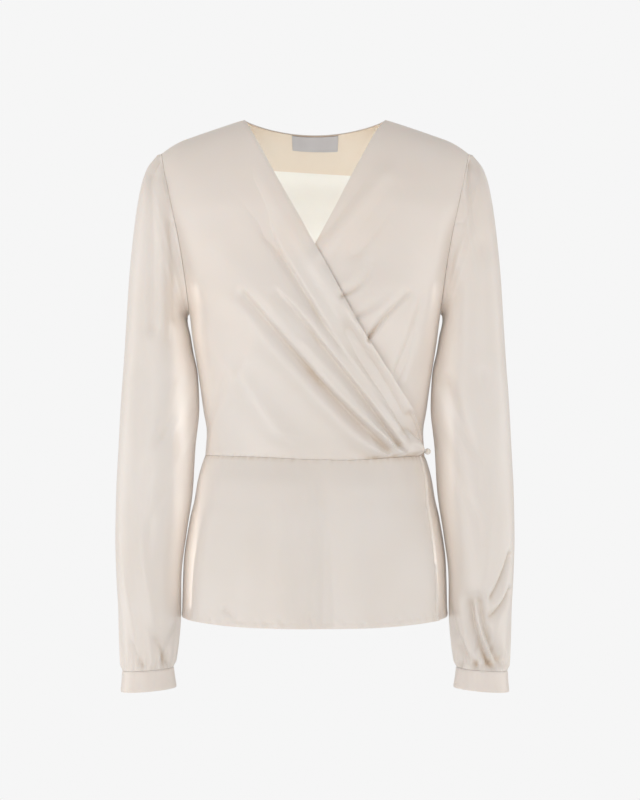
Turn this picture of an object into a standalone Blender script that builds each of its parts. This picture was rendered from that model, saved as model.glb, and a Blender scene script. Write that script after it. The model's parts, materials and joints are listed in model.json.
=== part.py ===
"""A satin wrap top, hollow and filled out as if worn, in the pieces that a maker cuts and sews.

The wearer faces -Y and the wearer's left is +X. The origin lies midway between the inner ends of
the two shoulder seams. Sizes in the tables are millimetres, and the model is in metres.
"""
import math
from collections import namedtuple

import bmesh
import bpy
import numpy as np

MM = 0.001
QUARTER = math.pi / 2
LEFT, RIGHT = 1, -1

# Cloth and seams
WALL = 1.2              # satin with its hems and seams pressed in
CUFF_WALL = 2.0         # two layers and an interlining
TRIM_WALL = 1.0         # facing and label
LAYER_LIFT = 2.2        # how far the outer front stands off what the under front fills
LIFT_REACH = math.radians(12)       # turn over which it rises there
UNDER_FADE = math.radians(8)        # how far the under front's folds reach below the outer
EDGE_FADE = 30          # folds come back to the figure over this far from a side or armhole
SEAM_TURN = 0.0008      # radians that a piece stops short of the side seam
SEAM_DOWN = 0.0026      # radians that a piece stops short of the shoulder seam
HALF_GAP = 0.16         # half the gap between bodice and peplum
SLEEVE_RAISE = 0.35     # the sleeve's seam lies a little over the bodice's edge
SLEEVE_GAP = 0.5        # between a bodice piece and the sleeve set into it

# General figure under the cloth
SQUARE = 2.5            # exponent of the torso's superellipse sections
SHOULDER_SLOPE = 0.38
NECK_HALF = 84          # half the width of the neck opening at the shoulder seams
NECK_ROUND = 60         # rounds the slope off between the neck points
TIP_FROM, TIP_REACH, TIP_DROP = 154, 30, 7   # rounds it off again at the shoulder tips
SHOULDER_TURN = 100     # drop over which the cloth turns from the shoulder to upright
BUST_SIDE, BUST_HEIGHT, BUST_ACROSS, BUST_UP, BUST_RISE = 74, -238, 52, 62, 9

Ring = namedtuple("Ring", "height half_width front back")
TORSO = (
    Ring(-610, 158.0, 106, 112),
    Ring(-533, 156.0, 102, 108),
    Ring(-476, 148.0, 95, 98),
    Ring(-455, 143.0, 91, 92),
    Ring(-431, 139.0, 86, 83),
    Ring(-410, 133.5, 80, 75),
    Ring(-401, 130.5, 78, 72),
    Ring(-374, 128.5, 80, 72),
    Ring(-347, 132.5, 83, 74),
    Ring(-314, 137.0, 87, 77),
    Ring(-263, 145.0, 92, 84),
    Ring(-232, 149.0, 94, 88),
    Ring(-205, 155.5, 94, 91),
    Ring(-155, 169.5, 92, 93),
    Ring(-109, 184.0, 86, 92),
    Ring(-82, 192.0, 79, 88),
    Ring(-41, 202.0, 71, 79),
    Ring(20, 216.0, 64, 66),
)

# Seams and edges, on the figure
WAIST = -401
WAIST_DIP, WAIST_DIP_X, WAIST_DIP_WIDTH = 5, 25, 65
HEM = -597
HEM_DIP = 3.8
UNDERARM = -232
ARMHOLE_BITE = math.radians(28)     # how far the armhole turns in from the side seam
ARMHOLE_ROUND = 0.9                 # `down` where the round part of the armhole ends

EdgeRow = namedtuple("EdgeRow", "height x")
WRAP_EDGE = (                       # right front, from its end at the waist to the neck
    EdgeRow(-401, 123.5),
    EdgeRow(-381, 121.5),
    EdgeRow(-362, 116.5),
    EdgeRow(-346, 110.0),
    EdgeRow(-322, 97.0),
    EdgeRow(-284, 74.0),
    EdgeRow(-238, 47.0),
    EdgeRow(-192, 22.0),
    EdgeRow(-153, 0.0),
    EdgeRow(-106, -26.0),
    EdgeRow(-72, -45.0),
    EdgeRow(-49, -57.0),
    EdgeRow(-23, -71.0),
    EdgeRow(0, -NECK_HALF),
)
UNDER_EDGE = (                      # left front, hidden below the crossing at -153
    EdgeRow(-401, -123.5),
    EdgeRow(-362, -116.5),
    EdgeRow(-322, -97.0),
    EdgeRow(-284, -74.0),
    EdgeRow(-238, -47.0),
    EdgeRow(-192, -22.0),
    EdgeRow(-153, 0.0),
    EdgeRow(-109, 23.5),
    EdgeRow(-72, 42.5),
    EdgeRow(-40, 59.5),
    EdgeRow(-17, 72.0),
    EdgeRow(0, NECK_HALF),
)
BACK_NECK_DEPTH = 13
FreeEdge = namedtuple("FreeEdge", "height degrees")
PEPLUM_EDGE = (
    FreeEdge(-597, 62.5),
    FreeEdge(-520, 62.5),
    FreeEdge(-466, 63.5),
    FreeEdge(-433, 67.0),
    FreeEdge(-401, 70.2),
)

# Height above the waist seam over which it holds the folds down
BODICE_HOLD, TUCKED_HOLD, PEPLUM_HOLD, BACK_HOLD = 34, 6, 60, 14
TUCKS_FROM, TUCKS_TO = 35, 85       # the tucks near the button run right into the seam

# Folds: ridges (rise > 0) and troughs (rise < 0) along a bowed line, seen from the front or back
Fold = namedtuple("Fold", "x0 z0 x1 z1 bow width0 width1 rise0 rise1")
RIGHT_FRONT_FOLDS = (
    Fold(-46, -210, 90, -390, 0, 46, 34, 8.0, 14.0),     # the whole drape stands proud
    Fold(-89, -224, 84, -410, -3, 14, 14, 3.0, 8.0),     # and rolls over into its first trough
    Fold(-79, -213, 96, -400, -3, 8, 9, -6.5, -14.5),
    Fold(-67, -203, 105, -390, -3, 7, 7, 1.4, 3.0),
    Fold(-43, -214, 104, -394, 8, 7, 7.5, -3.6, -12.5),
    Fold(-35, -207, 112, -385, 8, 7, 6, 1.4, 4.5),
    Fold(-54, -141, 102, -366, -7, 7, 6, -3.6, -2.5),
    Fold(40, -264, 112, -370, -1, 9, 8, -4.4, -8.0),
    Fold(2, -182, 60, -280, 1, 11, 8, 3.0, 2.0),         # the roll along the wrap edge
    Fold(40, -232, 118, -350, -1, 7, 6, 1.0, 2.4),
    Fold(-62, -78, 2, -182, -1, 12, 11, 1.8, 3.0),
    Fold(-84, -311, -22, -394, -2, 13, 15, 3.0, 5.0),
    Fold(-128, -262, -50, -372, 4, 16, 18, 2.4, 1.5),
    Fold(-120, -150, -72, -206, 0, 18, 16, 2.4, 1.6),
    Fold(112, -358, 124, -388, 2, 7, 6, -4.0, -7.0),     # the tucks at the button
    Fold(82, -372, 96, -402, -2, 6, 6, 3.0, 8.0),
)
LEFT_FRONT_FOLDS = (
    Fold(48, -242, 122, -162, 0, 42, 48, 7.5, 4.5),      # fullness over the bust
    Fold(33, -214, 64, -178, -6, 6, 8, -4.6, -2.4),
    Fold(50, -236, 80, -212, -2, 6, 8, -3.6, -1.0),
    Fold(62, -262, 108, -206, 1.5, 6, 6, -6.0, -3.0),
    Fold(72, -272, 118, -216, 0, 9, 9, 2.4, 1.2),
    Fold(86, -298, 112, -226, -3, 9, 10, 2.4, 1.6),
    Fold(96, -303, 121, -218, -3, 7, 8, -4.0, -1.6),
    Fold(9, -164, 79, -73, 0, 9, 10, 4.6, 2.6),
    Fold(49, -159, 91, -99, 0, 9, 10, -4.0, -2.0),
)
BACK_FOLDS = (
    Fold(-62, -398, -84, -258, 4, 14, 24, 5.5, 0.8),
    Fold(-20, -398, -26, -300, -3, 11, 18, 4.6, 0.8),
    Fold(34, -398, 40, -286, 3, 12, 20, 5.2, 0.8),
    Fold(78, -398, 96, -250, -4, 14, 24, 5.0, 0.8),
    Fold(-118, -352, -30, -376, 5, 9, 12, 4.0, 1.4),
    Fold(114, -346, 36, -372, -5, 9, 12, 4.2, 1.4),
    Fold(-134, -196, -48, -128, 6, 14, 20, 3.8, 1.2),
    Fold(136, -204, 52, -134, -6, 14, 20, 3.6, 1.2),
)
PEPLUM_FRONT_FOLDS = (
    Fold(-84, -404, -92, -600, 3, 24, 30, 0.4, 2.8),
    Fold(6, -404, 12, -600, 2, 16, 24, -0.2, -2.6),
    Fold(52, -404, 66, -600, -2, 20, 28, 0.4, 3.0),
    Fold(0, -420, 0, -600, 0, 120, 120, 2.2, 3.4),
)
PEPLUM_BACK_FOLDS = (
    Fold(-90, -404, -104, -600, 3, 18, 24, 0.4, 5.0),
    Fold(-28, -404, -34, -600, -2, 18, 24, 0.4, 5.6),
    Fold(34, -404, 38, -600, 2, 18, 24, 0.4, 5.2),
    Fold(92, -404, 108, -600, -3, 18, 24, 0.4, 4.8),
)

# Sleeves: each ring spans from an outer to an inner point, seen from the front
SleeveRing = namedtuple("SleeveRing", "outer outer_height inner inner_height half_depth centre")
SLEEVE = (
    SleeveRing(182.0, -34, 150.0, -232, 48, 0),
    SleeveRing(191.5, -45, 152.3, -235, 50, 0),
    SleeveRing(199.5, -56, 152.7, -238, 52, 0),
    SleeveRing(206.2, -72, 152.9, -241, 52, -1),
    SleeveRing(212.5, -100, 152.8, -244, 51, -2),
    SleeveRing(218.0, -142, 152.3, -249, 50, -4),
    SleeveRing(222.5, -190, 150.6, -258, 49, -6),
    SleeveRing(225.5, -240, 146.6, -277, 48, -8),
    SleeveRing(228.5, -290, 140.2, -305, 47, -10),
    SleeveRing(232.0, -340, 138.2, -345, 46, -13),
    SleeveRing(234.5, -392, 142.7, -392, 45, -16),
    SleeveRing(237.0, -445, 145.7, -443, 43, -19),
    SleeveRing(237.8, -497, 153.0, -494, 41, -22),
    SleeveRing(236.3, -545, 158.8, -541, 38, -25),
    SleeveRing(233.0, -588, 160.0, -584, 36, -27),
    SleeveRing(230.7, -625, 163.5, -621, 34, -29),
    SleeveRing(228.5, -656, 168.0, -651.5, 31, -31),
)
ARMHOLE_FADE = 3.0      # rings over which the armhole's own curve fades out of the sleeve
CUFF = (
    SleeveRing(229.0, -656.4, 167.6, -651.9, 31.6, -31),
    SleeveRing(229.6, -669.0, 166.2, -664.0, 32.6, -31.2),
    SleeveRing(231.0, -681.0, 164.2, -675.6, 34.0, -31.5),
)
# Sleeve folds lie along the sleeve: turn in degrees from its outer line to the front, ring by ring
SleeveFold = namedtuple("SleeveFold", "turn0 ring0 turn1 ring1 width0 width1 rise0 rise1")
SLEEVE_FOLDS = (
    SleeveFold(24, 0.2, 30, 3.6, 7, 12, 3.4, 0.8),       # tucks in the sleeve head
    SleeveFold(-22, 0.2, -28, 3.4, 7, 12, 3.0, 0.8),
    SleeveFold(2, 0.3, 3, 2.8, 6, 10, 2.4, 0.6),
    SleeveFold(46, 0.3, 44, 9.0, 10, 15, 2.2, 1.8),
    SleeveFold(-50, 0.3, -46, 8.5, 10, 15, 2.0, 1.8),
    SleeveFold(108, 2.0, 96, 8.0, 10, 14, 2.6, 1.4),
    SleeveFold(-112, 2.0, -98, 8.0, 10, 14, 2.4, 1.4),
    SleeveFold(150, 8.2, 78, 10.4, 9, 8, -1.4, -3.4),    # bend of the elbow
    SleeveFold(150, 9.4, 92, 11.6, 9, 8, -1.2, -3.0),
    SleeveFold(-60, 9.0, -120, 11.0, 10, 10, -2.2, -1.4),
    SleeveFold(60, 10.5, 112, 15.2, 9, 7, 1.2, 3.6),     # long folds down to the cuff
    SleeveFold(34, 12.2, 70, 15.2, 8, 6, 1.0, 3.4),
    SleeveFold(-58, 10.8, -96, 15.2, 9, 7, 1.2, 3.2),
    SleeveFold(-20, 13.0, -14, 15.4, 8, 6, 1.0, 2.6),
    SleeveFold(-140, 12.5, -150, 15.4, 8, 6, 1.0, 2.6),
)
GATHERS, GATHER_RISE, GATHER_FIRST_RING = 8, 2.2, 13.0
GATHER_SHARES = (1.0, 0.6, 0.9, 0.5, 1.0, 0.7, 0.55, 0.85)

# Counts of faces
SIDE_STEPS, ARMHOLE_STEPS = 13, 16
RIGHT_FRONT_STEPS, LEFT_FRONT_STEPS = 42, 16
CROWDING = 1.3          # crowds the outer front's columns towards its folds
SHOULDER_STEPS, BACK_NECK_STEPS = 5, 8
PEPLUM_STEPS, CUFF_STEPS = 6, 2
FACING_COLUMNS = 2

# Trims
FACING_LOW, FACING_TILT = -56, -0.06     # its lower edge sags a little at the wearer's left
LABEL_HALF_WIDTH, LABEL_TOP, LABEL_BOTTOM = 28.5, 0.6, 21.4
TRIM_GAP, FACING_GAP = 0.4, 1.1     # the facing hangs free of the back along its low edge
BALL_RADIUS, SHANK_RADIUS, SHANK_LENGTH = 3.7, 0.9, 2.6
BUTTON_TURN, BUTTON_HEIGHT = math.radians(75.5), -397
LOOP_RADIUS, LOOP_REACH, LOOP_HALF_HEIGHT = 0.6, 10.2, 1.9

IVORY = (0.80, 0.74, 0.68, 1)
PALE_IVORY = (0.84, 0.79, 0.73, 1)
LABEL_GREY = (0.52, 0.49, 0.48, 1)
PEARL = (0.86, 0.82, 0.76, 1)


def clear_scene():
    for item in list(bpy.data.objects):
        bpy.data.objects.remove(item, do_unlink=True)


def smooth_step(share):
    share = np.clip(share, 0, 1)
    return share * share * (3 - 2 * share)


def smooth_curve(keys, values, at):
    """Reads values between their keys on a smooth curve that never overshoots a row."""
    keys, values, at = (np.asarray(item, float) for item in (keys, values, at))
    steps = np.diff(keys)
    slopes = np.diff(values) / steps
    tangents = np.zeros(len(keys))
    tangents[0], tangents[-1] = slopes[0], slopes[-1]
    for row in range(1, len(keys) - 1):
        before, after = slopes[row - 1], slopes[row]
        if before * after > 0:
            tangents[row] = 2 * before * after / (before + after)
    spot = np.clip(np.searchsorted(keys, at) - 1, 0, len(steps) - 1)
    share = np.clip((at - keys[spot]) / steps[spot], 0, 1)
    near, far = (1 - share) ** 2, share ** 2
    return (
        near * (1 + 2 * share) * values[spot]
        + far * (3 - 2 * share) * values[spot + 1]
        + share * near * steps[spot] * tangents[spot]
        - far * (1 - share) * steps[spot] * tangents[spot + 1]
    )


def column(table, name):
    return [getattr(row, name) for row in table]


def read(table, key, name, at):
    return smooth_curve(column(table, key), column(table, name), at)


# The torso: `around` is the angle from the front centre to the wearer's left, and `down` runs
# from 0 at the shoulder seam, a quarter turn over the shoulder, then on down the body.

def signed_power(value, exponent):
    return np.sign(value) * np.abs(value) ** exponent


def shoulder_line(x):
    """Straight from the neck point, and rounded off towards the shoulder tip."""
    tip = np.maximum(np.abs(x) - TIP_FROM, 0) / TIP_REACH
    slope = SHOULDER_SLOPE * (np.hypot(x, NECK_ROUND) - math.hypot(NECK_HALF, NECK_ROUND))
    return -slope - TIP_DROP * tip ** 2


def drop_at(down):
    over = SHOULDER_TURN * (1 - np.cos(np.minimum(down, QUARTER)))
    return over + SHOULDER_TURN * np.maximum(down - QUARTER, 0)


def down_at(drop):
    over = np.arccos(np.clip(1 - drop / SHOULDER_TURN, 0, 1))
    return over + np.maximum(drop / SHOULDER_TURN - 1, 0)


def torso(around, down):
    """Points on the figure that the under layer of cloth lies on."""
    around, down = np.broadcast_arrays(around, down)
    sides = signed_power(np.sin(around), 2 / SQUARE)
    drop = drop_at(down)
    height = -drop
    for _ in range(8):
        x = read(TORSO, "height", "half_width", height) * sides
        height = shoulder_line(x) - drop
    front = read(TORSO, "height", "front", height)
    back = read(TORSO, "height", "back", height)
    forward = np.cos(around)
    depth = np.where(forward > 0, front, back)
    bust = BUST_RISE * np.exp(
        -((np.abs(x) - BUST_SIDE) / BUST_ACROSS) ** 2 - ((height - BUST_HEIGHT) / BUST_UP) ** 2
    )
    depth = depth + np.where(forward > 0, bust, 0)
    over = np.sin(np.minimum(down, QUARTER))
    y = -depth * over * signed_power(forward, 2 / SQUARE)
    return np.stack([x, y, height], -1)


def torso_normal(around, down):
    step = 0.004
    down = np.maximum(down, 4 * step)
    across = torso(around + step, down) - torso(around - step, down)
    along = torso(around, down + step) - torso(around, down - step)
    normal = np.cross(along, across)
    return normal / np.linalg.norm(normal, axis=-1, keepdims=True)


def on_torso(chart, out=0.0):
    """Turns (around, down) pairs and a distance out from the figure into points."""
    around, down = chart[..., 0], chart[..., 1]
    out = np.broadcast_to(out, around.shape)[..., None]
    return torso(around, down) + out * torso_normal(around, down)


def chart_of(x, height, front=True):
    """The (around, down) pair of a place seen from the front or the back."""
    x, height = np.broadcast_arrays(np.asarray(x, float), np.asarray(height, float))
    half = read(TORSO, "height", "half_width", height)
    sides = signed_power(np.clip(x / half, -1, 1), SQUARE / 2)
    around = np.arcsin(sides) if front else math.pi - np.arcsin(sides)
    return np.stack([around, down_at(shoulder_line(x) - height)], -1)


def chart_at(around, height):
    around, height = np.broadcast_arrays(np.asarray(around, float), np.asarray(height, float))
    x = read(TORSO, "height", "half_width", height) * signed_power(np.sin(around), 2 / SQUARE)
    return np.stack([around, down_at(shoulder_line(x) - height)], -1)


# Edges of the pieces, each a chart of evenly spaced points

def spread(curve, steps, crowding=1.0):
    """Places steps + 1 points along a curve on the torso, evenly or crowded towards its end."""
    fine = curve(np.linspace(0, 1, 600))
    path = torso(fine[:, 0], fine[:, 1])
    lengths = np.concatenate([[0], np.cumsum(np.linalg.norm(np.diff(path, axis=0), axis=1))])
    at = lengths[-1] * (1 - (1 - np.linspace(0, 1, steps + 1)) ** crowding)
    return np.stack([np.interp(at, lengths, fine[:, part]) for part in (0, 1)], -1)


def side_turn(side, front):
    """The side seam's angle: the front stops just short of it and the back starts just past."""
    if front:
        return side * (QUARTER - SEAM_TURN)
    return QUARTER + SEAM_TURN if side == LEFT else 3 * QUARTER - SEAM_TURN


def side_seam(side, front):
    return spread(lambda t: chart_at(side_turn(side, front), WAIST + HALF_GAP
                                     + t * (UNDERARM - WAIST - HALF_GAP)), SIDE_STEPS)


def armhole(side, front):
    """From the underarm point up to the shoulder tip."""
    low = chart_at(QUARTER, UNDERARM)[1]

    def curve(t):
        angle = QUARTER * np.clip(t / 0.7, 0, 1)
        rise = np.clip((t - 0.7) / 0.3, 0, 1)
        down = low - (low - ARMHOLE_ROUND) * (1 - np.cos(angle)) - ARMHOLE_ROUND * rise
        turn = QUARTER - ARMHOLE_BITE * np.sin(angle)
        if front:
            around = side * turn
        else:
            around = math.pi - side * turn
        return np.stack([around, np.maximum(down, SEAM_DOWN)], -1)

    return spread(curve, ARMHOLE_STEPS)


def side_edge(side, front):
    seam, hole = side_seam(side, front), armhole(side, front)
    hole[0] = seam[-1]
    return np.concatenate([seam[:-1], hole])


def waist_height(around):
    x = read(TORSO, "height", "half_width", WAIST) * np.sin(around)
    dip = WAIST_DIP * np.exp(-((x - WAIST_DIP_X) / WAIST_DIP_WIDTH) ** 2)
    return WAIST - np.where(np.cos(around) > 0, dip, 0)


def waist_edge(start, end, steps, shift, crowding=1.0):
    def curve(t):
        around = start + t * (end - start)
        return chart_at(around, waist_height(around) + shift)
    return spread(curve, steps, crowding)


def edge_from(table, steps):
    """A front edge, from its end at the waist up to the neck point."""
    def curve(t):
        height = table[0].height * (1 - t) + HALF_GAP * (1 - t)
        chart = chart_of(read(table, "height", "x", height), height)
        chart[:, 1] = np.maximum(chart[:, 1], SEAM_DOWN)
        return chart
    return spread(curve, steps)


def shoulder_edge(start, end, steps, crowding=1.0):
    def curve(t):
        around = start + t * (end - start)
        return np.stack([around, np.full_like(around, SEAM_DOWN)], -1)
    return spread(curve, steps, crowding)


def patch(bottom, top, left, right):
    """Fills four edges, given as charts, with a grid of rows by columns (a Coons patch)."""
    u = (bottom[:, 0] - bottom[0, 0]) / (bottom[-1, 0] - bottom[0, 0])
    u = u[None, :, None]
    v = np.linspace(0, 1, len(left))[:, None, None]
    across = (1 - u) * left[:, None] + u * right[:, None]
    up = (1 - v) * bottom[None] + v * top[None]
    corners = ((1 - u) * (1 - v) * bottom[0] + u * (1 - v) * bottom[-1]
               + (1 - u) * v * top[0] + u * v * top[-1])
    return across + up - corners


# How far each layer stands off the figure

def fold_rise(folds, x, height):
    total = np.zeros(np.broadcast(x, height).shape)
    for fold in folds:
        length = math.hypot(fold.x1 - fold.x0, fold.z1 - fold.z0)
        along_x, along_z = (fold.x1 - fold.x0) / length, (fold.z1 - fold.z0) / length
        run = ((x - fold.x0) * along_x + (height - fold.z0) * along_z) / length
        share = np.clip(run, 0, 1)
        off = (height - fold.z0) * along_x - (x - fold.x0) * along_z
        off = off - fold.bow * 4 * share * (1 - share)
        width = fold.width0 + share * (fold.width1 - fold.width0)
        rise = fold.rise0 + share * (fold.rise1 - fold.rise0)
        past = np.maximum(np.maximum(-run, run - 1) * length, 0)
        total += rise * np.exp(-(off / width) ** 2 - (past / (1.5 * width)) ** 2)
    return total


def seam_fade(height, around, reach):
    """Folds die out where the waist seam holds the cloth."""
    return smooth_step(np.abs(height - waist_height(around)) / reach)


def hidden_edge(height):
    """The angle of the under layer's hidden edge, at the wearer's right."""
    bodice = chart_of(read(UNDER_EDGE, "height", "x", height), height)[..., 0]
    peplum = -np.radians(read(PEPLUM_EDGE, "height", "degrees", height))
    return np.where(height > WAIST, bodice, peplum)


def edge_fade(chart, *ends):
    """Folds come back to the figure at a side or armhole edge, an end column of the chart."""
    spot = torso(chart[..., 0], chart[..., 1])
    away = [np.linalg.norm(spot - spot[:, [end]], axis=-1) for end in ends]
    return smooth_step(np.min(away, axis=0) / EDGE_FADE)


def overlap_lift(around, height):
    """Lifts the outer layer where the under layer lies below it."""
    return LAYER_LIFT * smooth_step((around - hidden_edge(height)) / LIFT_REACH + 1)


def front_hold(x):
    tucked = smooth_step((x - TUCKS_FROM) / (TUCKS_TO - TUCKS_FROM))
    return BODICE_HOLD + (TUCKED_HOLD - BODICE_HOLD) * tucked


def panel_folds(chart, folds, hold=None):
    spot = torso(chart[..., 0], chart[..., 1])
    hold = front_hold(spot[..., 0]) if hold is None else hold
    rise = fold_rise(folds, spot[..., 0], spot[..., 2])
    return rise * seam_fade(spot[..., 2], chart[..., 0], hold)


def under_folds(chart):
    """The folds of the left front, which reach a little under the right front."""
    height = torso(chart[..., 0], chart[..., 1])[..., 2]
    wrap = chart_of(read(WRAP_EDGE, "height", "x", height), height)[..., 0]
    bare = smooth_step((chart[..., 0] - wrap) / UNDER_FADE + 1)
    return np.maximum(panel_folds(chart, LEFT_FRONT_FOLDS) * bare, 0)


def left_front_out(chart):
    return under_folds(chart) * edge_fade(chart, -1)


def right_front_out(chart):
    height = torso(chart[..., 0], chart[..., 1])[..., 2]
    folds = np.maximum(panel_folds(chart, RIGHT_FRONT_FOLDS), 0) * edge_fade(chart, 0)
    return overlap_lift(chart[..., 0], height) + under_folds(chart) + folds


def back_out(chart):
    return np.maximum(panel_folds(chart, BACK_FOLDS, BACK_HOLD), 0) * edge_fade(chart, 0, -1)


def peplum_front_out(chart):
    height = torso(chart[..., 0], chart[..., 1])[..., 2]
    folds = np.maximum(panel_folds(chart, PEPLUM_FRONT_FOLDS, PEPLUM_HOLD), 0) * edge_fade(chart, 0)
    return overlap_lift(chart[..., 0], height) + folds


def peplum_back_out(chart):
    return np.maximum(panel_folds(chart, PEPLUM_BACK_FOLDS, PEPLUM_HOLD), 0) * edge_fade(chart, 0, -1)


# Charts of the pieces

def right_front_chart():
    wrap = edge_from(WRAP_EDGE, SIDE_STEPS + ARMHOLE_STEPS)
    side = side_edge(RIGHT, True)
    bottom = waist_edge(side[0, 0], wrap[0, 0], RIGHT_FRONT_STEPS, HALF_GAP, CROWDING)
    top = shoulder_edge(side[-1, 0], wrap[-1, 0], RIGHT_FRONT_STEPS, CROWDING)
    side[0], wrap[0] = bottom[0], bottom[-1]
    return patch(bottom, top, side, wrap)


def left_front_chart():
    wrap = edge_from(UNDER_EDGE, SIDE_STEPS + ARMHOLE_STEPS)
    side = side_edge(LEFT, True)
    bottom = waist_edge(wrap[0, 0], side[0, 0], LEFT_FRONT_STEPS, HALF_GAP)
    top = shoulder_edge(wrap[-1, 0], side[-1, 0], LEFT_FRONT_STEPS)
    side[0], wrap[0] = bottom[-1], bottom[0]
    return patch(bottom, top, wrap, side)


def back_neck_height(x):
    return -BACK_NECK_DEPTH * (1 - (np.abs(x) / NECK_HALF) ** 2)


def back_neck_edge(steps):
    """The back neckline, from the wearer's left to the right."""
    def curve(t):
        x = NECK_HALF * np.cos(math.pi * t)
        chart = chart_of(x, back_neck_height(x), front=False)
        chart[:, 1] = np.maximum(chart[:, 1], SEAM_DOWN)
        return chart
    return spread(curve, steps)


def back_chart():
    left, right = side_edge(LEFT, False), side_edge(RIGHT, False)
    neck = back_neck_edge(BACK_NECK_STEPS)
    top = np.concatenate([
        shoulder_edge(left[-1, 0], neck[0, 0], SHOULDER_STEPS)[:-1],
        neck[:-1],
        shoulder_edge(neck[-1, 0], right[-1, 0], SHOULDER_STEPS),
    ])
    bottom = waist_edge(left[0, 0], right[0, 0], len(top) - 1, HALF_GAP)
    left[0], right[0] = bottom[0], bottom[-1]
    return patch(bottom, top, left, right)


def between(grid, row, column):
    """Reads a grid between its points, so that what lies on a panel follows its facets."""
    low = min(int(row), grid.shape[0] - 2)
    left = min(int(column), grid.shape[1] - 2)
    up, across = row - low, column - left
    ends = [grid[low + step, left] * (1 - across) + grid[low + step, left + 1] * across
            for step in (0, 1)]
    return ends[0] * (1 - up) + ends[1] * up


def facing_walls():
    """A strip inside the back neckline, on the back's own points, straight along its low edge."""
    chart = back_chart()
    ground, normal = on_torso(chart, back_out(chart)), torso_normal(chart[..., 0], chart[..., 1])
    first, top = SHOULDER_STEPS - FACING_COLUMNS, len(ground) - 1
    gaps = np.array([[FACING_GAP], [FACING_GAP], [TRIM_GAP], [TRIM_GAP]])
    outer, inner = [], []
    for number in range(first, ground.shape[1] - first):
        line = ground[:, number]
        low = FACING_LOW + FACING_TILT * np.interp(FACING_LOW, line[:, 2], line[:, 0])
        lowest = np.interp(low, line[:, 2], np.arange(len(line)))
        halfway = top - 2 if lowest < top - 2.1 else (lowest + top - 1) / 2
        rows = [lowest, halfway, top - 1, top]
        outward = np.array([between(normal, row, number) for row in rows])
        outer.append([between(ground, row, number) for row in rows] - gaps * outward)
        inner.append(outer[-1] - TRIM_WALL * outward)
    return np.array(outer).transpose(1, 0, 2), np.array(inner).transpose(1, 0, 2)


def label_walls():
    """A strip on the facing, below the middle of the back neckline."""
    far, ground = facing_walls()
    middle, top = ground.shape[1] // 2, ground.shape[0] - 1
    cell = np.linalg.norm(ground[top, middle] - ground[top, middle + 1])
    step = np.linalg.norm(ground[top, middle] - ground[top - 1, middle])
    reach = LABEL_HALF_WIDTH / cell
    columns = [middle - reach, middle - 1, middle, middle + 1, middle + reach]
    rows = [top - LABEL_BOTTOM / step, top - LABEL_TOP / step]
    outer = np.array([[between(ground, row, column) for column in columns] for row in rows])
    back = np.array([[between(far, row, column) for column in columns] for row in rows])
    outward = (back - outer) / TRIM_WALL
    return outer - TRIM_GAP * outward, outer - (TRIM_GAP + TRIM_WALL) * outward


def hem_height(around):
    """The hem dips a little in front and behind, and rises at the side seams."""
    return HEM - HEM_DIP * np.cos(2 * around)


def peplum_chart(start, end, steps, crowding=1.0):
    """Panel from the waist seam to the hem; start and end give the edge angles by height."""
    waist = waist_edge(start(WAIST), end(WAIST), steps, -HALF_GAP, crowding)
    along = (waist[:, 0] - waist[0, 0]) / (waist[-1, 0] - waist[0, 0])
    rows = [waist]
    for share in np.linspace(0, 1, PEPLUM_STEPS + 1)[1:]:
        level = WAIST + share * (HEM - WAIST)
        around = start(level) + along * (end(level) - start(level))
        top = waist_height(around) - HALF_GAP
        rows.append(chart_at(around, top + share * (hem_height(around) - top)))
    return np.stack(rows[::-1])


def free_edge(height):
    return math.radians(float(read(PEPLUM_EDGE, "height", "degrees", height)))


# Sleeves and cuffs

def armhole_loop(side):
    """From the shoulder tip down the front to the underarm, and up the back."""
    front, back = armhole(side, True), armhole(side, False)
    return np.concatenate([front[::-1], back[1:-1]])


def ring_points(table, run, turns, side):
    parts = {name: smooth_curve(range(len(table)), column(table, name), run)
             for name in SleeveRing._fields}
    outer = np.stack([parts["outer"], parts["outer_height"]], -1)
    inner = np.stack([parts["inner"], parts["inner_height"]], -1)
    middle, reach = (outer + inner) / 2, (outer - inner) / 2
    across = middle[:, None] + reach[:, None] * np.cos(turns)[None, :, None]
    y = parts["centre"][:, None] - parts["half_depth"][:, None] * np.sin(turns)[None]
    return np.stack([side * across[..., 0], y, across[..., 1]], -1)


def tube_normal(points, side):
    around = np.roll(points, -1, axis=1) - np.roll(points, 1, axis=1)
    along = np.gradient(points, axis=0)
    normal = np.cross(around, along) * side
    return normal / np.linalg.norm(normal, axis=-1, keepdims=True)


def sleeve_rise(run, turns):
    """Folds of the sleeve and the gathers above the cuff."""
    run, turns = run[:, None], turns[None]
    total = np.zeros(np.broadcast(run, turns).shape)
    for fold in SLEEVE_FOLDS:
        share = np.clip((run - fold.ring0) / (fold.ring1 - fold.ring0), 0, 1)
        centre = np.radians(fold.turn0 + share * (fold.turn1 - fold.turn0))
        off = np.arctan2(np.sin(turns - centre), np.cos(turns - centre)) * 50
        width = fold.width0 + share * (fold.width1 - fold.width0)
        rise = fold.rise0 + share * (fold.rise1 - fold.rise0)
        past = np.maximum(np.maximum(fold.ring0 - run, run - fold.ring1), 0)
        total += rise * np.exp(-(off / width) ** 2 - (past / 0.8) ** 2)
    last = len(SLEEVE) - 1
    near_cuff = smooth_step((run - GATHER_FIRST_RING) / (last - 0.8 - GATHER_FIRST_RING))
    wave = turns / (2 * math.pi) * GATHERS
    share = np.take(GATHER_SHARES, np.floor(wave + 0.5).astype(int) % GATHERS)
    total += GATHER_RISE * near_cuff * share * np.cos(2 * math.pi * wave)
    held = smooth_step(run / 0.8) * smooth_step((last - run) / 0.8)
    return total * held


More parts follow.
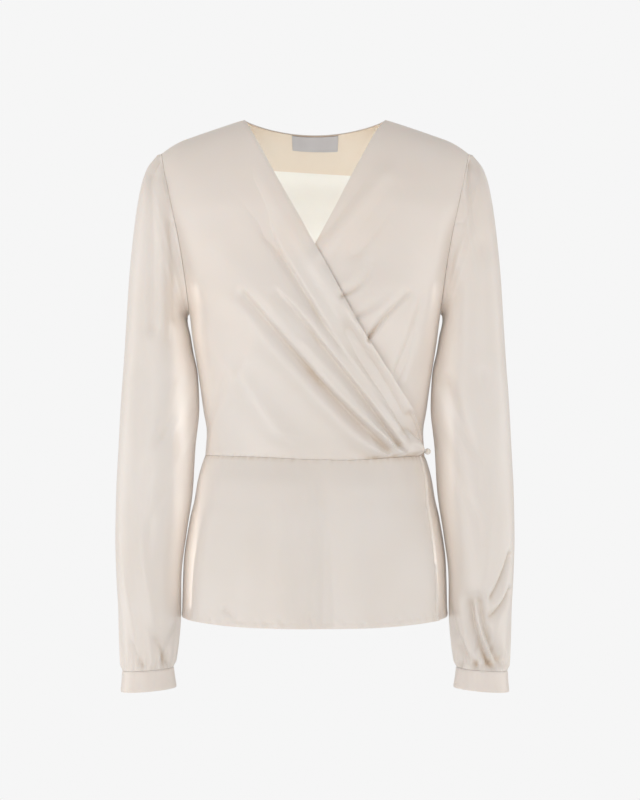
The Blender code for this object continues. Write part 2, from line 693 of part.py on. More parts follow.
def sleeve_walls(side):
    loop = armhole_loop(side)
    turns = np.linspace(0, 2 * math.pi, len(loop), endpoint=False)
    run = np.arange(len(SLEEVE), dtype=float)
    points = ring_points(SLEEVE, run, turns, side)
    edge = on_torso(loop, WALL + SLEEVE_RAISE)
    normal = torso_normal(loop[:, 0], loop[:, 1])
    away = np.cross(normal, np.roll(edge, -1, axis=0) - np.roll(edge, 1, axis=0))
    away /= np.linalg.norm(away, axis=-1, keepdims=True)
    away *= np.sign(away[0, 0]) * side
    start = edge + SLEEVE_GAP * away
    fade = 1 - smooth_step(run / ARMHOLE_FADE)
    points = points + fade[:, None, None] * (start - points[0])[None]
    normal = tube_normal(points, side)
    outer = points + sleeve_rise(run, turns)[..., None] * normal
    return outer, outer - WALL * normal


def cuff_walls(side):
    turns = np.linspace(0, 2 * math.pi, 2 * ARMHOLE_STEPS, endpoint=False)
    run = np.linspace(0, len(CUFF) - 1, CUFF_STEPS + 1)
    outer = ring_points(CUFF, run, turns, side)
    return outer, outer - CUFF_WALL * tube_normal(outer, side)


# Solids

def material(name, colour, roughness, sheen=0.0):
    made = bpy.data.materials.new(name)
    made.use_nodes = True
    shader = made.node_tree.nodes["Principled BSDF"]
    shader.inputs["Base Color"].default_value = colour
    shader.inputs["Roughness"].default_value = roughness
    shader.inputs["Metallic"].default_value = 0.0
    shader.inputs["Sheen Weight"].default_value = sheen
    made.diffuse_color = colour
    return made


def finish(bm, name, finish_material):
    bmesh.ops.recalc_face_normals(bm, faces=bm.faces[:])
    mesh = bpy.data.meshes.new(name)
    bm.to_mesh(mesh)
    bm.free()
    mesh.shade_smooth()
    mesh.set_sharp_from_angle(angle=math.radians(50))
    mesh.materials.append(finish_material)
    item = bpy.data.objects.new(name, mesh)
    bpy.context.scene.collection.objects.link(item)
    return item


def cloth(name, outer, inner, finish_material, tube=False, cut="SHORT_EDGE"):
    """A closed wall between two grids of points; a tube's columns meet round the back.

    Each face of the grid is cut in two by its short diagonal, or by the one that folds follow.
    """
    rows, columns = outer.shape[0] - 1, outer.shape[1] - (0 if tube else 1)
    bm = bmesh.new()
    row_of = bm.verts.layers.int.new("row")
    column_of = bm.verts.layers.int.new("column")
    bmesh.ops.create_grid(bm, x_segments=columns, y_segments=rows, size=0.5)
    for vert in bm.verts:
        vert[row_of] = round((vert.co.y + 0.5) * rows)
        vert[column_of] = round((vert.co.x + 0.5) * columns) % outer.shape[1]
        vert.co = outer[vert[row_of], vert[column_of]] * MM
    if tube:
        bmesh.ops.remove_doubles(bm, verts=bm.verts[:], dist=0.01 * MM)
    bmesh.ops.triangulate(bm, faces=bm.faces[:], quad_method=cut)
    sheet = bm.faces[:] + bm.edges[:] + bm.verts[:]
    made = bmesh.ops.extrude_face_region(bm, geom=sheet, use_keep_orig=True)["geom"]
    for vert in (item for item in made if isinstance(item, bmesh.types.BMVert)):
        vert.co = inner[vert[row_of], vert[column_of]] * MM
    bmesh.ops.triangulate(bm, faces=bm.faces[:])
    return finish(bm, name, finish_material)


def panel(name, chart, out, finish_material, cut="SHORT_EDGE"):
    return cloth(name, on_torso(chart, out + WALL), on_torso(chart, out), finish_material, cut=cut)


def button(finish_material):
    """A ball on a shank, turned round its axis, standing on the under front."""
    base = chart_at(BUTTON_TURN, BUTTON_HEIGHT)
    foot = on_torso(base, WALL + TRIM_GAP)
    axis = torso_normal(base[0], base[1])
    neck = math.asin(SHANK_RADIUS / BALL_RADIUS)
    angles = [neck + (math.pi - neck) * step / 8 for step in range(9)]
    centre = SHANK_LENGTH + BALL_RADIUS * math.cos(neck)
    profile = [(0, 0), (SHANK_RADIUS, 0)]
    profile += [(BALL_RADIUS * math.sin(a), centre - BALL_RADIUS * math.cos(a)) for a in angles]
    profile[-1] = (0, centre + BALL_RADIUS)
    side = np.cross(axis, (0, 0, 1))
    side /= np.linalg.norm(side)
    bm = bmesh.new()
    verts = [bm.verts.new((foot + side * radius + axis * along) * MM) for radius, along in profile]
    edges = [bm.edges.new(pair) for pair in zip(verts, verts[1:])]
    bmesh.ops.spin(bm, geom=verts + edges, cent=foot * MM, axis=axis, angle=2 * math.pi,
                   steps=16, use_merge=True)
    bmesh.ops.remove_doubles(bm, verts=bm.verts[:], dist=0.01 * MM)
    return finish(bm, "button", finish_material)


def button_loop(finish_material):
    """A thin rouleau that leaves the wrap edge, goes round the shank and comes back."""
    base = chart_at(BUTTON_TURN, BUTTON_HEIGHT)
    out = LAYER_LIFT + WALL / 2
    centre = on_torso(base, out)
    normal = torso_normal(base[0], base[1])
    back = np.cross((0, 0, 1), normal)
    back *= np.sign(back[1]) / np.linalg.norm(back)
    up = np.cross(normal, back)
    up *= np.sign(up[2])
    turns = np.linspace(-QUARTER, QUARTER, 9)
    bend = [centre + LOOP_HALF_HEIGHT * (back * math.cos(a) + up * math.sin(a)) for a in turns]
    start = bend[0] - back * (LOOP_REACH - 2 * LOOP_HALF_HEIGHT)
    end = bend[-1] - back * (LOOP_REACH - 2 * LOOP_HALF_HEIGHT)
    route = [start] + bend + [end]
    curve = bpy.data.curves.new("button_loop", "CURVE")
    curve.dimensions = "3D"
    curve.bevel_depth = LOOP_RADIUS * MM
    curve.bevel_resolution = 1
    curve.use_fill_caps = True
    spline = curve.splines.new("POLY")
    spline.points.add(len(route) - 1)
    for point, place in zip(spline.points, route):
        point.co = (*(place * MM), 1)
    curve.materials.append(finish_material)
    item = bpy.data.objects.new("button_loop", curve)
    bpy.context.scene.collection.objects.link(item)
    return item


def main():
    clear_scene()
    satin = material("ivory_satin", IVORY, 0.38, 0.3)
    inside = material("pale_ivory", PALE_IVORY, 0.5, 0.2)
    tape = material("label_tape", LABEL_GREY, 0.6)
    pearl = material("pearl", PEARL, 0.2)

    chart = right_front_chart()
    panel("right_front", chart, right_front_out(chart), satin, cut="LONG_EDGE")
    chart = left_front_chart()
    panel("left_front", chart, left_front_out(chart), satin, cut="LONG_EDGE")
    chart = back_chart()
    panel("back", chart, back_out(chart), satin)
    cloth("back_neck_facing", *facing_walls(), inside)
    cloth("label", *label_walls(), tape)

    right_seam = side_turn(RIGHT, True)
    left_seam = side_turn(LEFT, True)
    chart = peplum_chart(lambda level: right_seam, free_edge, RIGHT_FRONT_STEPS, CROWDING)
    panel("peplum_front", chart, peplum_front_out(chart), satin)
    chart = peplum_chart(lambda level: -free_edge(level), lambda level: left_seam,
                         LEFT_FRONT_STEPS)
    panel("peplum_under", chart, 0.0, satin)
    back_columns = 2 * SHOULDER_STEPS + BACK_NECK_STEPS
    chart = peplum_chart(lambda level: side_turn(LEFT, False),
                         lambda level: side_turn(RIGHT, False), back_columns)
    panel("peplum_back", chart, peplum_back_out(chart), satin)

    for side, word in ((RIGHT, "right"), (LEFT, "left")):
        cloth(word + "_sleeve", *sleeve_walls(side), satin, tube=True)
        cloth(word + "_cuff", *cuff_walls(side), satin, tube=True)
    button(pearl)
    button_loop(satin)


main()
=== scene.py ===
# %% [markdown]
# # A satin wrap top
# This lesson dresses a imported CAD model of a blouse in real-looking cloth. The top is filled out as if
# it were worn, with nobody in it: a V neck, a wrap front that is drawn into folds at the wearer's left,
# a short peplum below the waist seam, and long sleeves gathered into cuffs. The CAD walls give the form
# in coarse facets. Here each piece gets a fine surface on the same form, so its folds run soft and
# unbroken, and the finish of heavy ivory satin.

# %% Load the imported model
import json
import math
from collections import namedtuple

import bmesh
import bpy
import numpy as np
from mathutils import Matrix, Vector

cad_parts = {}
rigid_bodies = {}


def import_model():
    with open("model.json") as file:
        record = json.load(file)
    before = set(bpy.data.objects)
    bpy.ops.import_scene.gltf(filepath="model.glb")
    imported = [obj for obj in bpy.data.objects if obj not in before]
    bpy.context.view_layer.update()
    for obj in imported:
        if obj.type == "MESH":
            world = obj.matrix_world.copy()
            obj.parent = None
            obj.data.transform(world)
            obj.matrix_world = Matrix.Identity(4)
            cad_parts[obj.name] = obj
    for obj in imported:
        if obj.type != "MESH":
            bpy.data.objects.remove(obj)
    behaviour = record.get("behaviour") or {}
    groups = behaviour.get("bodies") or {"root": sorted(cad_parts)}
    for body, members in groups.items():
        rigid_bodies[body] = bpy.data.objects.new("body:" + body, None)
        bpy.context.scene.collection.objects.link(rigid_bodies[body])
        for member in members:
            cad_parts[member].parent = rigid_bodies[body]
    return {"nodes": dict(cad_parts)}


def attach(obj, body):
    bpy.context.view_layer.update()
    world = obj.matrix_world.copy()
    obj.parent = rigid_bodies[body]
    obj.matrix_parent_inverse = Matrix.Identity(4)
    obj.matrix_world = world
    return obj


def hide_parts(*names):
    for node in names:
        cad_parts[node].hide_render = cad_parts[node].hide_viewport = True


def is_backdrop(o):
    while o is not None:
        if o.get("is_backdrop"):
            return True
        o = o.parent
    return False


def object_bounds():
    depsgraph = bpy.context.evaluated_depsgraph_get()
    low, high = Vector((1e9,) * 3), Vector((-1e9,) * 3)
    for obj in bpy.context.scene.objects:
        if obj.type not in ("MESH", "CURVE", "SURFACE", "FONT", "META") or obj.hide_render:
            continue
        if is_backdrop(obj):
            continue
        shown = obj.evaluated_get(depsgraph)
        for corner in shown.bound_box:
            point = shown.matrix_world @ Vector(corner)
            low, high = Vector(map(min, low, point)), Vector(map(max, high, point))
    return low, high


for leftover in list(bpy.data.objects):
    bpy.data.objects.remove(leftover, do_unlink=True)
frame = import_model()
cad_box = [[float(value) for value in corner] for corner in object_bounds()]
print("pieces in the model:", ", ".join(sorted(frame["nodes"])))

# %% [markdown]
# ## Camera, floor and light
# A catalogue picture of clothing is taken with a long lens from straight in front, at chest height, so
# that both sleeves look alike and nothing is distorted. The frame is upright, so the lens is measured
# on its height.

# %% Camera
MM = 0.001
CAMERA_PLACE = (0.006, -3.2, -0.335)
LENS, SENSOR = 80, 24

lens = bpy.data.cameras.new("front_camera")
lens.sensor_fit, lens.sensor_height, lens.lens = "VERTICAL", SENSOR, LENS
camera = bpy.data.objects.new("front_camera", lens)
camera.location = CAMERA_PLACE
camera.rotation_euler = (math.radians(90), 0, 0)
bpy.context.scene.collection.objects.link(camera)
bpy.context.scene.camera = camera
bpy.context.scene.view_settings.view_transform = "Standard"
print("camera", round(-CAMERA_PLACE[1], 2), "m in front")

# %% [markdown]
# The room is a white cove. What the camera sees behind the top is nearly white, while the light that
# falls on the cloth from all sides is dimmer and slightly warm, so that the lamps can still model the
# folds. A Light Path node keeps the two apart. That light is also a little stronger from low in front,
# as a pale floor throws it back up. The floor lies where the wearer would stand, and fades into the
# cove with its distance, which a transparent rim does without any visible horizon.

# %% Room
PAPER = (0.921, 0.921, 0.921, 1)
AMBIENT = (1.0, 0.99, 0.985, 1)
AMBIENT_STRENGTH, AMBIENT_TILT, BRIGHT_SIDE = 0.79, 0.37, (-0.25, -0.56, -0.79)
FLOOR_HEIGHT, FLOOR_RADIUS, FLOOR_FADE = -1.40, 3.2, 0.75
FLOOR_PAINT = (0.90, 0.90, 0.90, 1)


def fill(node, values):
    for socket, value in values.items():
        node.inputs[socket].default_value = value


def add_node(tree, kind, values=None, **settings):
    """A shader node with its settings made and its sockets filled."""
    node = tree.nodes.new("ShaderNode" + kind)
    for name, setting in settings.items():
        setattr(node, name, setting)
    fill(node, values or {})
    return node


def link(tree, source, output, target, socket):
    tree.links.new(source.outputs[output], target.inputs[socket])


def new_material(name, roughness):
    made = bpy.data.materials.new(name)
    made.use_nodes = True
    shader = made.node_tree.nodes["Principled BSDF"]
    fill(shader, {"Roughness": roughness})
    return made, made.node_tree, shader


def build_world():
    world = bpy.data.worlds.new("white_cove")
    world.use_nodes = True
    tree = world.node_tree
    tree.nodes.clear()
    seen = add_node(tree, "Background", {"Color": PAPER})
    glow = add_node(tree, "Background", {"Color": AMBIENT})
    direction = add_node(tree, "TexCoord")
    towards = add_node(tree, "VectorMath", {1: BRIGHT_SIDE}, operation="DOT_PRODUCT")
    slope = add_node(tree, "Math", {1: AMBIENT_TILT, 2: AMBIENT_STRENGTH}, operation="MULTIPLY_ADD")
    link(tree, direction, "Generated", towards, 0)
    link(tree, towards, "Value", slope, 0)
    link(tree, slope, 0, glow, "Strength")
    path, mix, out = (add_node(tree, kind) for kind in ("LightPath", "MixShader", "OutputWorld"))
    link(tree, path, "Is Camera Ray", mix, 0)
    link(tree, glow, 0, mix, 1)
    link(tree, seen, 0, mix, 2)
    link(tree, mix, 0, out, "Surface")
    bpy.context.scene.world = world


def build_floor():
    bm = bmesh.new()
    bmesh.ops.create_circle(bm, cap_ends=True, segments=96, radius=FLOOR_RADIUS)
    bmesh.ops.translate(bm, verts=bm.verts[:], vec=(0, 0, FLOOR_HEIGHT))
    mesh = bpy.data.meshes.new("floor")
    bm.to_mesh(mesh)
    bm.free()
    floor = bpy.data.objects.new("floor", mesh)
    bpy.context.scene.collection.objects.link(floor)
    paint, tree, shader = new_material("cove_paint", 0.9)
    fill(shader, {"Base Color": FLOOR_PAINT})
    place = add_node(tree, "TexCoord")
    shift = add_node(tree, "Mapping", {"Location": (0, 0, -FLOOR_HEIGHT / FLOOR_RADIUS),
                                       "Scale": (1 / FLOOR_RADIUS,) * 3})
    ball = add_node(tree, "TexGradient", gradient_type="SPHERICAL")
    fade = add_node(tree, "ValToRGB")
    fade.color_ramp.elements[1].position = FLOOR_FADE
    link(tree, place, "Object", shift, "Vector")
    link(tree, shift, 0, ball, "Vector")
    link(tree, ball, "Fac", fade, "Fac")
    link(tree, fade, "Color", shader, "Alpha")
    mesh.materials.append(paint)
    floor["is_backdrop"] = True


build_world()
build_floor()
print("room ready, floor at", FLOOR_HEIGHT, "m")

# %% [markdown]
# Satin shows its folds by what it mirrors softly, so the lamps are large panels. The main one stands
# low at the wearer's right, which lights every slope that faces down and to that side and leaves the
# other slope of each fold a shade darker. Weaker ones opposite and to the sides keep the far sleeve
# from going grey. Two slim, faint strips stand before the gaps between body and sleeves, turned a
# little towards the body, as a studio's white cards would. The last is a small lamp inside the top,
# for the light that comes through the back.

# %% Lamps
Lamp = namedtuple("Lamp", "name place target width height power colour")
STRIP_COLOUR = (1.0, 0.97, 0.93)
LAMPS = (
    Lamp("main_panel", (-1.5, -2.7, -1.0), (0, 0, -0.33), 1.3, 1.3, 11, (1.0, 0.985, 0.97)),
    Lamp("side_panel", (2.4, -1.8, -1.0), (0, 0, -0.33), 1.6, 1.6, 7, (1.0, 0.985, 0.965)),
    Lamp("right_rim", (-2.6, 0.5, -0.6), (0, 0, -0.33), 1.6, 1.6, 11, (1.0, 0.985, 0.96)),
    Lamp("left_rim", (2.6, 0.5, -0.6), (0, 0, -0.33), 1.6, 1.6, 12, (1.0, 0.985, 0.96)),
    Lamp("right_strip", (-0.150, -0.06, -0.39), (-0.142, 0, -0.39), 0.02, 0.38, 0.0140, STRIP_COLOUR),
    Lamp("left_strip", (0.150, -0.06, -0.39), (0.138, 0, -0.39), 0.02, 0.38, 0.0080, STRIP_COLOUR),
    Lamp("back_glow", (0, -0.03, -0.22), (0, 0.09, -0.04), 0.12, 0.12, 0.27, (0.86, 0.98, 1.0)),
)


def build_lamp(lamp):
    data = bpy.data.lights.new(lamp.name, "AREA")
    data.shape, data.size, data.size_y = "RECTANGLE", lamp.width, lamp.height
    data.energy, data.color = lamp.power, lamp.colour
    item = bpy.data.objects.new(lamp.name, data)
    item.location = lamp.place
    item.visible_camera = False
    aim = np.array(lamp.target) - np.array(lamp.place)
    tilt, heading = math.atan2(math.hypot(aim[0], aim[1]), -aim[2]), math.atan2(aim[1], aim[0])
    item.rotation_euler = (tilt, 0, heading - math.pi / 2)
    bpy.context.scene.collection.objects.link(item)


for lamp in LAMPS:
    build_lamp(lamp)
print(len(LAMPS), "lamps")

# %% [markdown]
# ## Finishes
# Satin has long floats of thread on its face, so it is smooth and takes a soft mirror, with a fine
# grain along the thread that only shows close to. The weave is a pair of very fine waves on the cloth's
# own UV map, in metres, so it turns with each piece. A wide, faint cloud in the colour stands for the
# way that heavy satin never looks quite even. A little light goes through it, hence the subsurface.
# Deep in a tight fold the colour is painted warmer and darker, as painted shade for the shadow there.
# Each piece carries an attribute for that, from 0 on open cloth to 1 in a deep crease, and the satin's
# colour is darkened by it as painted shade.

# %% Satin and the other finishes
IVORY, IVORY_SHADE = (0.768, 0.702, 0.650, 1), (0.742, 0.668, 0.605, 1)
# the facing's two colours are the satin's wrong side, painted darker and browner as painted shade for
# its place inside the neck
SHADED_FACING, SHADED_FACING_DEEP = (0.67, 0.51, 0.383, 1), (0.65, 0.49, 0.363, 1)
# painted shade: the colour that the satin is multiplied by deep in a crease
CREASE_PAINTED_SHADE = (0.81, 0.735, 0.64, 1)
THREAD_PITCH, THREAD_DEPTH = 0.00042, 0.00003
WAVE_RADIANS = 20  # how far a Wave node turns over one unit of its Scale


def cloud(tree, scale, detail, low, high):
    """Two close colours in soft, uneven patches."""
    place = add_node(tree, "TexCoord")
    noise = add_node(tree, "TexNoise", {"Scale": scale, "Detail": detail})
    ramp = add_node(tree, "ValToRGB")
    for stop, colour, position in zip(ramp.color_ramp.elements, (low, high), (0.3, 0.7)):
        stop.color, stop.position = colour, position
    link(tree, place, "Object", noise, "Vector")
    link(tree, noise, 0, ramp, "Fac")
    return ramp


def weave(tree, pitch, depth, strength):
    """Crossed threads as bump, on the piece's own map in metres; `pitch` is one radian of a wave."""
    cloth_map = add_node(tree, "UVMap", uv_map="cloth")
    blend = add_node(tree, "Math", operation="ADD")
    for socket, (direction, share) in enumerate((("X", 1.0), ("Y", 0.45))):
        scale = {"Scale": 1 / (pitch * WAVE_RADIANS) * share, "Distortion": 0.6}
        wave = add_node(tree, "TexWave", scale, bands_direction=direction)
        link(tree, cloth_map, 0, wave, "Vector")
        link(tree, wave, "Fac", blend, socket)
    bump = add_node(tree, "Bump", {"Strength": strength, "Distance": depth})
    link(tree, blend, 0, bump, "Height")
    return bump


def paint_crease_shade(tree, colour):
    """Paints shade into a colour in the creases; a Mix node's colours are inputs 6 and 7 and output 2.
    """
    crease = add_node(tree, "Attribute", attribute_name="crease")
    tint = add_node(tree, "Mix", data_type="RGBA", blend_type="MULTIPLY")
    fill(tint, {7: CREASE_PAINTED_SHADE})
    link(tree, crease, "Fac", tint, 0)
    link(tree, colour, "Color", tint, 6)
    return tint


def build_satin(name, light, shade, roughness=0.47, glow=0.14):
    made, tree, shader = new_material(name, roughness)
    colour = paint_crease_shade(tree, cloud(tree, 9.0, 2.0, shade, light))
    bump = weave(tree, THREAD_PITCH, THREAD_DEPTH, 0.25)
    link(tree, colour, 2, shader, "Base Color")
    link(tree, bump, "Normal", shader, "Normal")
    fill(shader, {
        "IOR": 1.7,
        "Specular IOR Level": 0.75,
        "Sheen Weight": 0.5,
        "Sheen Roughness": 0.4,
        "Sheen Tint": (1.0, 0.95, 0.89, 1),
        "Subsurface Weight": glow,
        "Subsurface Radius": (1.0, 0.62, 0.40),
        "Subsurface Scale": 0.004,
    })
    return made


satin = build_satin("ivory_satin", IVORY, IVORY_SHADE)
# the wrong side of the satin, for the facing, in colours with painted shade
shaded_wrong_side = build_satin("facing_satin_painted_shade", SHADED_FACING, SHADED_FACING_DEEP, 0.5, 0.2)
print("satin finishes:", satin.name, shaded_wrong_side.name)

# %% [markdown]
# ## The figure under the cloth
# A worn garment takes its form from the figure inside it. This one is a stack of flattened rings, with
# the shoulders turned over at the top and rounded off at their tips. Any place on it has two numbers:
# `around`, the angle from the front centre towards the wearer's left, and `down`, which runs over the
# shoulder and on to the hem. The rows below are the same ones that shaped the CAD walls, in
# millimetres, so the fine surface and the walls agree.

# %% Rings of the figure
QUARTER = math.pi / 2
LEFT, RIGHT = 1, -1
WALL, CUFF_WALL, TRIM_WALL = 1.2, 2.0, 1.0
LAYER_LIFT, LIFT_REACH = 2.2, math.radians(12)
UNDER_FADE, EDGE_FADE = math.radians(8), 30
SEAM_TURN, SEAM_DOWN, HALF_GAP = 0.0008, 0.0026, 0.16
SLEEVE_RAISE, SLEEVE_GAP = 0.35, 0.5
SQUARE, SHOULDER_SLOPE, NECK_HALF, NECK_ROUND, SHOULDER_TURN = 2.5, 0.38, 84, 60, 100
TIP_FROM, TIP_REACH, TIP_DROP = 154, 30, 7
BUST_SIDE, BUST_HEIGHT, BUST_ACROSS, BUST_UP, BUST_RISE = 74, -238, 52, 62, 9

Ring = namedtuple("Ring", "height half_width front back")
TORSO = (
    Ring(-610, 158.0, 106, 112),
    Ring(-533, 156.0, 102, 108),
    Ring(-476, 148.0, 95, 98),
    Ring(-455, 143.0, 91, 92),
    Ring(-431, 139.0, 86, 83),
    Ring(-410, 133.5, 80, 75),
    Ring(-401, 130.5, 78, 72),
    Ring(-374, 128.5, 80, 72),
    Ring(-347, 132.5, 83, 74),
    Ring(-314, 137.0, 87, 77),
    Ring(-263, 145.0, 92, 84),
    Ring(-232, 149.0, 94, 88),
    Ring(-205, 155.5, 94, 91),
    Ring(-155, 169.5, 92, 93),
    Ring(-109, 184.0, 86, 92),
    Ring(-82, 192.0, 79, 88),
    Ring(-41, 202.0, 71, 79),
    Ring(20, 216.0, 64, 66),
)
print(len(TORSO), "rings from", TORSO[0].height, "to", TORSO[-1].height, "mm")

# %% [markdown]
# The rows are joined by a curve that never swings past a row, so a waist stays a waist. The section of
# each ring is a superellipse, a little squarer than an ellipse, as a body is.

# %% Points on the figure
NORMAL_STEP, HEIGHT_ROUNDS = 0.004, 8


def smooth_step(share):
    share = np.clip(share, 0, 1)
    return share * share * (3 - 2 * share)


def smooth_curve(keys, values, at):
    """Reads values between their keys on a smooth curve that never overshoots a row."""
    keys, values, at = (np.asarray(item, float) for item in (keys, values, at))
    steps = np.diff(keys)
    slopes = np.diff(values) / steps
    tangents = np.zeros(len(keys))
    tangents[0], tangents[-1] = slopes[0], slopes[-1]
    for row in range(1, len(keys) - 1):
        before, after = slopes[row - 1], slopes[row]
        if before * after > 0:
            tangents[row] = 2 * before * after / (before + after)
    spot = np.clip(np.searchsorted(keys, at) - 1, 0, len(steps) - 1)
    share = np.clip((at - keys[spot]) / steps[spot], 0, 1)
    near, far = (1 - share) ** 2, share ** 2
    return (
        near * (1 + 2 * share) * values[spot]
        + far * (3 - 2 * share) * values[spot + 1]
        + share * near * steps[spot] * tangents[spot]
        - far * (1 - share) * steps[spot] * tangents[spot + 1]
    )


def column(table, name):
    return [getattr(row, name) for row in table]


def read(table, key, name, at):
    return smooth_curve(column(table, key), column(table, name), at)


def figure(name, height):
    return read(TORSO, "height", name, height)


def signed_power(value, exponent):
    return np.sign(value) * np.abs(value) ** exponent


def unit(vectors):
    return vectors / np.linalg.norm(vectors, axis=-1, keepdims=True)


def shoulder_line(x):
    """Straight from the neck point, and rounded off towards the shoulder tip."""
    tip = np.maximum(np.abs(x) - TIP_FROM, 0) / TIP_REACH
    slope = SHOULDER_SLOPE * (np.hypot(x, NECK_ROUND) - math.hypot(NECK_HALF, NECK_ROUND))
    return -slope - TIP_DROP * tip ** 2


def drop_at(down):
    over = SHOULDER_TURN * (1 - np.cos(np.minimum(down, QUARTER)))
    return over + SHOULDER_TURN * np.maximum(down - QUARTER, 0)


def down_at(drop):
    over = np.arccos(np.clip(1 - drop / SHOULDER_TURN, 0, 1))
    return over + np.maximum(drop / SHOULDER_TURN - 1, 0)


def torso(around, down):
    """Points on the figure that the under layer of cloth lies on."""
    around, down = np.broadcast_arrays(around, down)
    sides = signed_power(np.sin(around), 2 / SQUARE)
    drop = drop_at(down)
    height = -drop
    for _ in range(HEIGHT_ROUNDS):
        x = figure("half_width", height) * sides
        height = shoulder_line(x) - drop
    forward = np.cos(around)
    depth = np.where(forward > 0, figure("front", height), figure("back", height))
    bust = BUST_RISE * np.exp(
        -((np.abs(x) - BUST_SIDE) / BUST_ACROSS) ** 2 - ((height - BUST_HEIGHT) / BUST_UP) ** 2
    )
    depth = depth + np.where(forward > 0, bust, 0)
    over = np.sin(np.minimum(down, QUARTER))
    y = -depth * over * signed_power(forward, 2 / SQUARE)
    return np.stack([x, y, height], -1)


def torso_normal(around, down):
    down = np.maximum(down, 4 * NORMAL_STEP)
    across = torso(around + NORMAL_STEP, down) - torso(around - NORMAL_STEP, down)
    along = torso(around, down + NORMAL_STEP) - torso(around, down - NORMAL_STEP)
    return unit(np.cross(along, across))


def on_torso(chart, out=0.0):
    """Turns (around, down) pairs and a distance out from the figure into points."""
    around, down = chart[..., 0], chart[..., 1]
    out = np.broadcast_to(out, around.shape)[..., None]
    return torso(around, down) + out * torso_normal(around, down)


def chart_of(x, height, front=True):
    """The (around, down) pair of a place seen from the front or the back."""
    x, height = np.broadcast_arrays(np.asarray(x, float), np.asarray(height, float))
    sides = signed_power(np.clip(x / figure("half_width", height), -1, 1), SQUARE / 2)
    around = np.arcsin(sides) if front else math.pi - np.arcsin(sides)
    return np.stack([around, down_at(shoulder_line(x) - height)], -1)


def chart_at(around, height):
    around, height = np.broadcast_arrays(np.asarray(around, float), np.asarray(height, float))
    x = figure("half_width", height) * signed_power(np.sin(around), 2 / SQUARE)
    return np.stack([around, down_at(shoulder_line(x) - height)], -1)


print("waist half width", figure("half_width", -401), "mm")

# %% [markdown]
# ## Edges of the pattern pieces
# Each piece is cut along four edges: a seam at the side and round the armhole, the shoulder, the waist,
# and an opening edge. An edge is found on the figure and then stepped off evenly along its own length.
# The fronts crowd their steps towards the wearer's left, because most of their folds lie there.

# %% Seams and edges
WAIST, HEM, HEM_DIP, UNDERARM = -401, -597, 3.8, -232
WAIST_DIP, WAIST_DIP_X, WAIST_DIP_WIDTH = 5, 25, 65
ARMHOLE_BITE, ARMHOLE_ROUND, ARMHOLE_BEND = math.radians(28), 0.9, 0.7
BACK_NECK_DEPTH = 13
SIDE_STEPS, ARMHOLE_STEPS = 104, 96
RIGHT_FRONT_STEPS, LEFT_FRONT_STEPS, CROWDING = 236, 190, 1.3
SHOULDER_STEPS, BACK_NECK_STEPS, PEPLUM_STEPS, TRACE_STEPS = 30, 48, 64, 1200

EdgeRow = namedtuple("EdgeRow", "height x")
WRAP_EDGE = (
    EdgeRow(-401, 123.5),
    EdgeRow(-381, 121.5),
    EdgeRow(-362, 116.5),
    EdgeRow(-346, 110.0),
    EdgeRow(-322, 97.0),
    EdgeRow(-284, 74.0),
    EdgeRow(-238, 47.0),
    EdgeRow(-192, 22.0),
    EdgeRow(-153, 0.0),
    EdgeRow(-106, -26.0),
    EdgeRow(-72, -45.0),
    EdgeRow(-49, -57.0),
    EdgeRow(-23, -71.0),
    EdgeRow(0, -NECK_HALF),
)
UNDER_EDGE = (
    EdgeRow(-401, -123.5),
    EdgeRow(-362, -116.5),
    EdgeRow(-322, -97.0),
    EdgeRow(-284, -74.0),
    EdgeRow(-238, -47.0),
    EdgeRow(-192, -22.0),
    EdgeRow(-153, 0.0),
    EdgeRow(-109, 23.5),
    EdgeRow(-72, 42.5),
    EdgeRow(-40, 59.5),
    EdgeRow(-17, 72.0),
    EdgeRow(0, NECK_HALF),
)
FreeEdge = namedtuple("FreeEdge", "height degrees")
PEPLUM_EDGE = (
    FreeEdge(-597, 62.5),
    FreeEdge(-520, 62.5),
    FreeEdge(-466, 63.5),
    FreeEdge(-433, 67.0),
    FreeEdge(-401, 70.2),
)


def spread(curve, steps, crowding=1.0):
    """Places steps + 1 points along a curve on the torso, evenly or crowded towards its end."""
    fine = curve(np.linspace(0, 1, TRACE_STEPS))
    path = torso(fine[:, 0], fine[:, 1])
    lengths = np.concatenate([[0], np.cumsum(np.linalg.norm(np.diff(path, axis=0), axis=1))])
    at = lengths[-1] * (1 - (1 - np.linspace(0, 1, steps + 1)) ** crowding)
    return np.stack([np.interp(at, lengths, fine[:, part]) for part in (0, 1)], -1)


def side_turn(side, front):
    if front:
        return side * (QUARTER - SEAM_TURN)
    return QUARTER + SEAM_TURN if side == LEFT else 3 * QUARTER - SEAM_TURN


def side_seam(side, front):
    turn, low = side_turn(side, front), WAIST + HALF_GAP
    return spread(lambda t: chart_at(turn, low + t * (UNDERARM - low)), SIDE_STEPS)


def armhole(side, front):
    """From the underarm point up to the shoulder tip."""
    low = chart_at(QUARTER, UNDERARM)[1]

    def curve(t):
        angle = QUARTER * np.clip(t / ARMHOLE_BEND, 0, 1)
        rise = np.clip((t - ARMHOLE_BEND) / (1 - ARMHOLE_BEND), 0, 1)
        down = low - (low - ARMHOLE_ROUND) * (1 - np.cos(angle)) - ARMHOLE_ROUND * rise
        turn = QUARTER - ARMHOLE_BITE * np.sin(angle)
        around = side * turn if front else math.pi - side * turn
        return np.stack([around, np.maximum(down, SEAM_DOWN)], -1)

    return spread(curve, ARMHOLE_STEPS)


def side_edge(side, front):
    seam, hole = side_seam(side, front), armhole(side, front)
    hole[0] = seam[-1]
    return np.concatenate([seam[:-1], hole])


def waist_height(around):
    x = figure("half_width", WAIST) * np.sin(around)
    dip = WAIST_DIP * np.exp(-((x - WAIST_DIP_X) / WAIST_DIP_WIDTH) ** 2)
    return WAIST - np.where(np.cos(around) > 0, dip, 0)


def waist_edge(start, end, steps, shift, crowding=1.0):
    def curve(t):
        around = start + t * (end - start)
        return chart_at(around, waist_height(around) + shift)
    return spread(curve, steps, crowding)


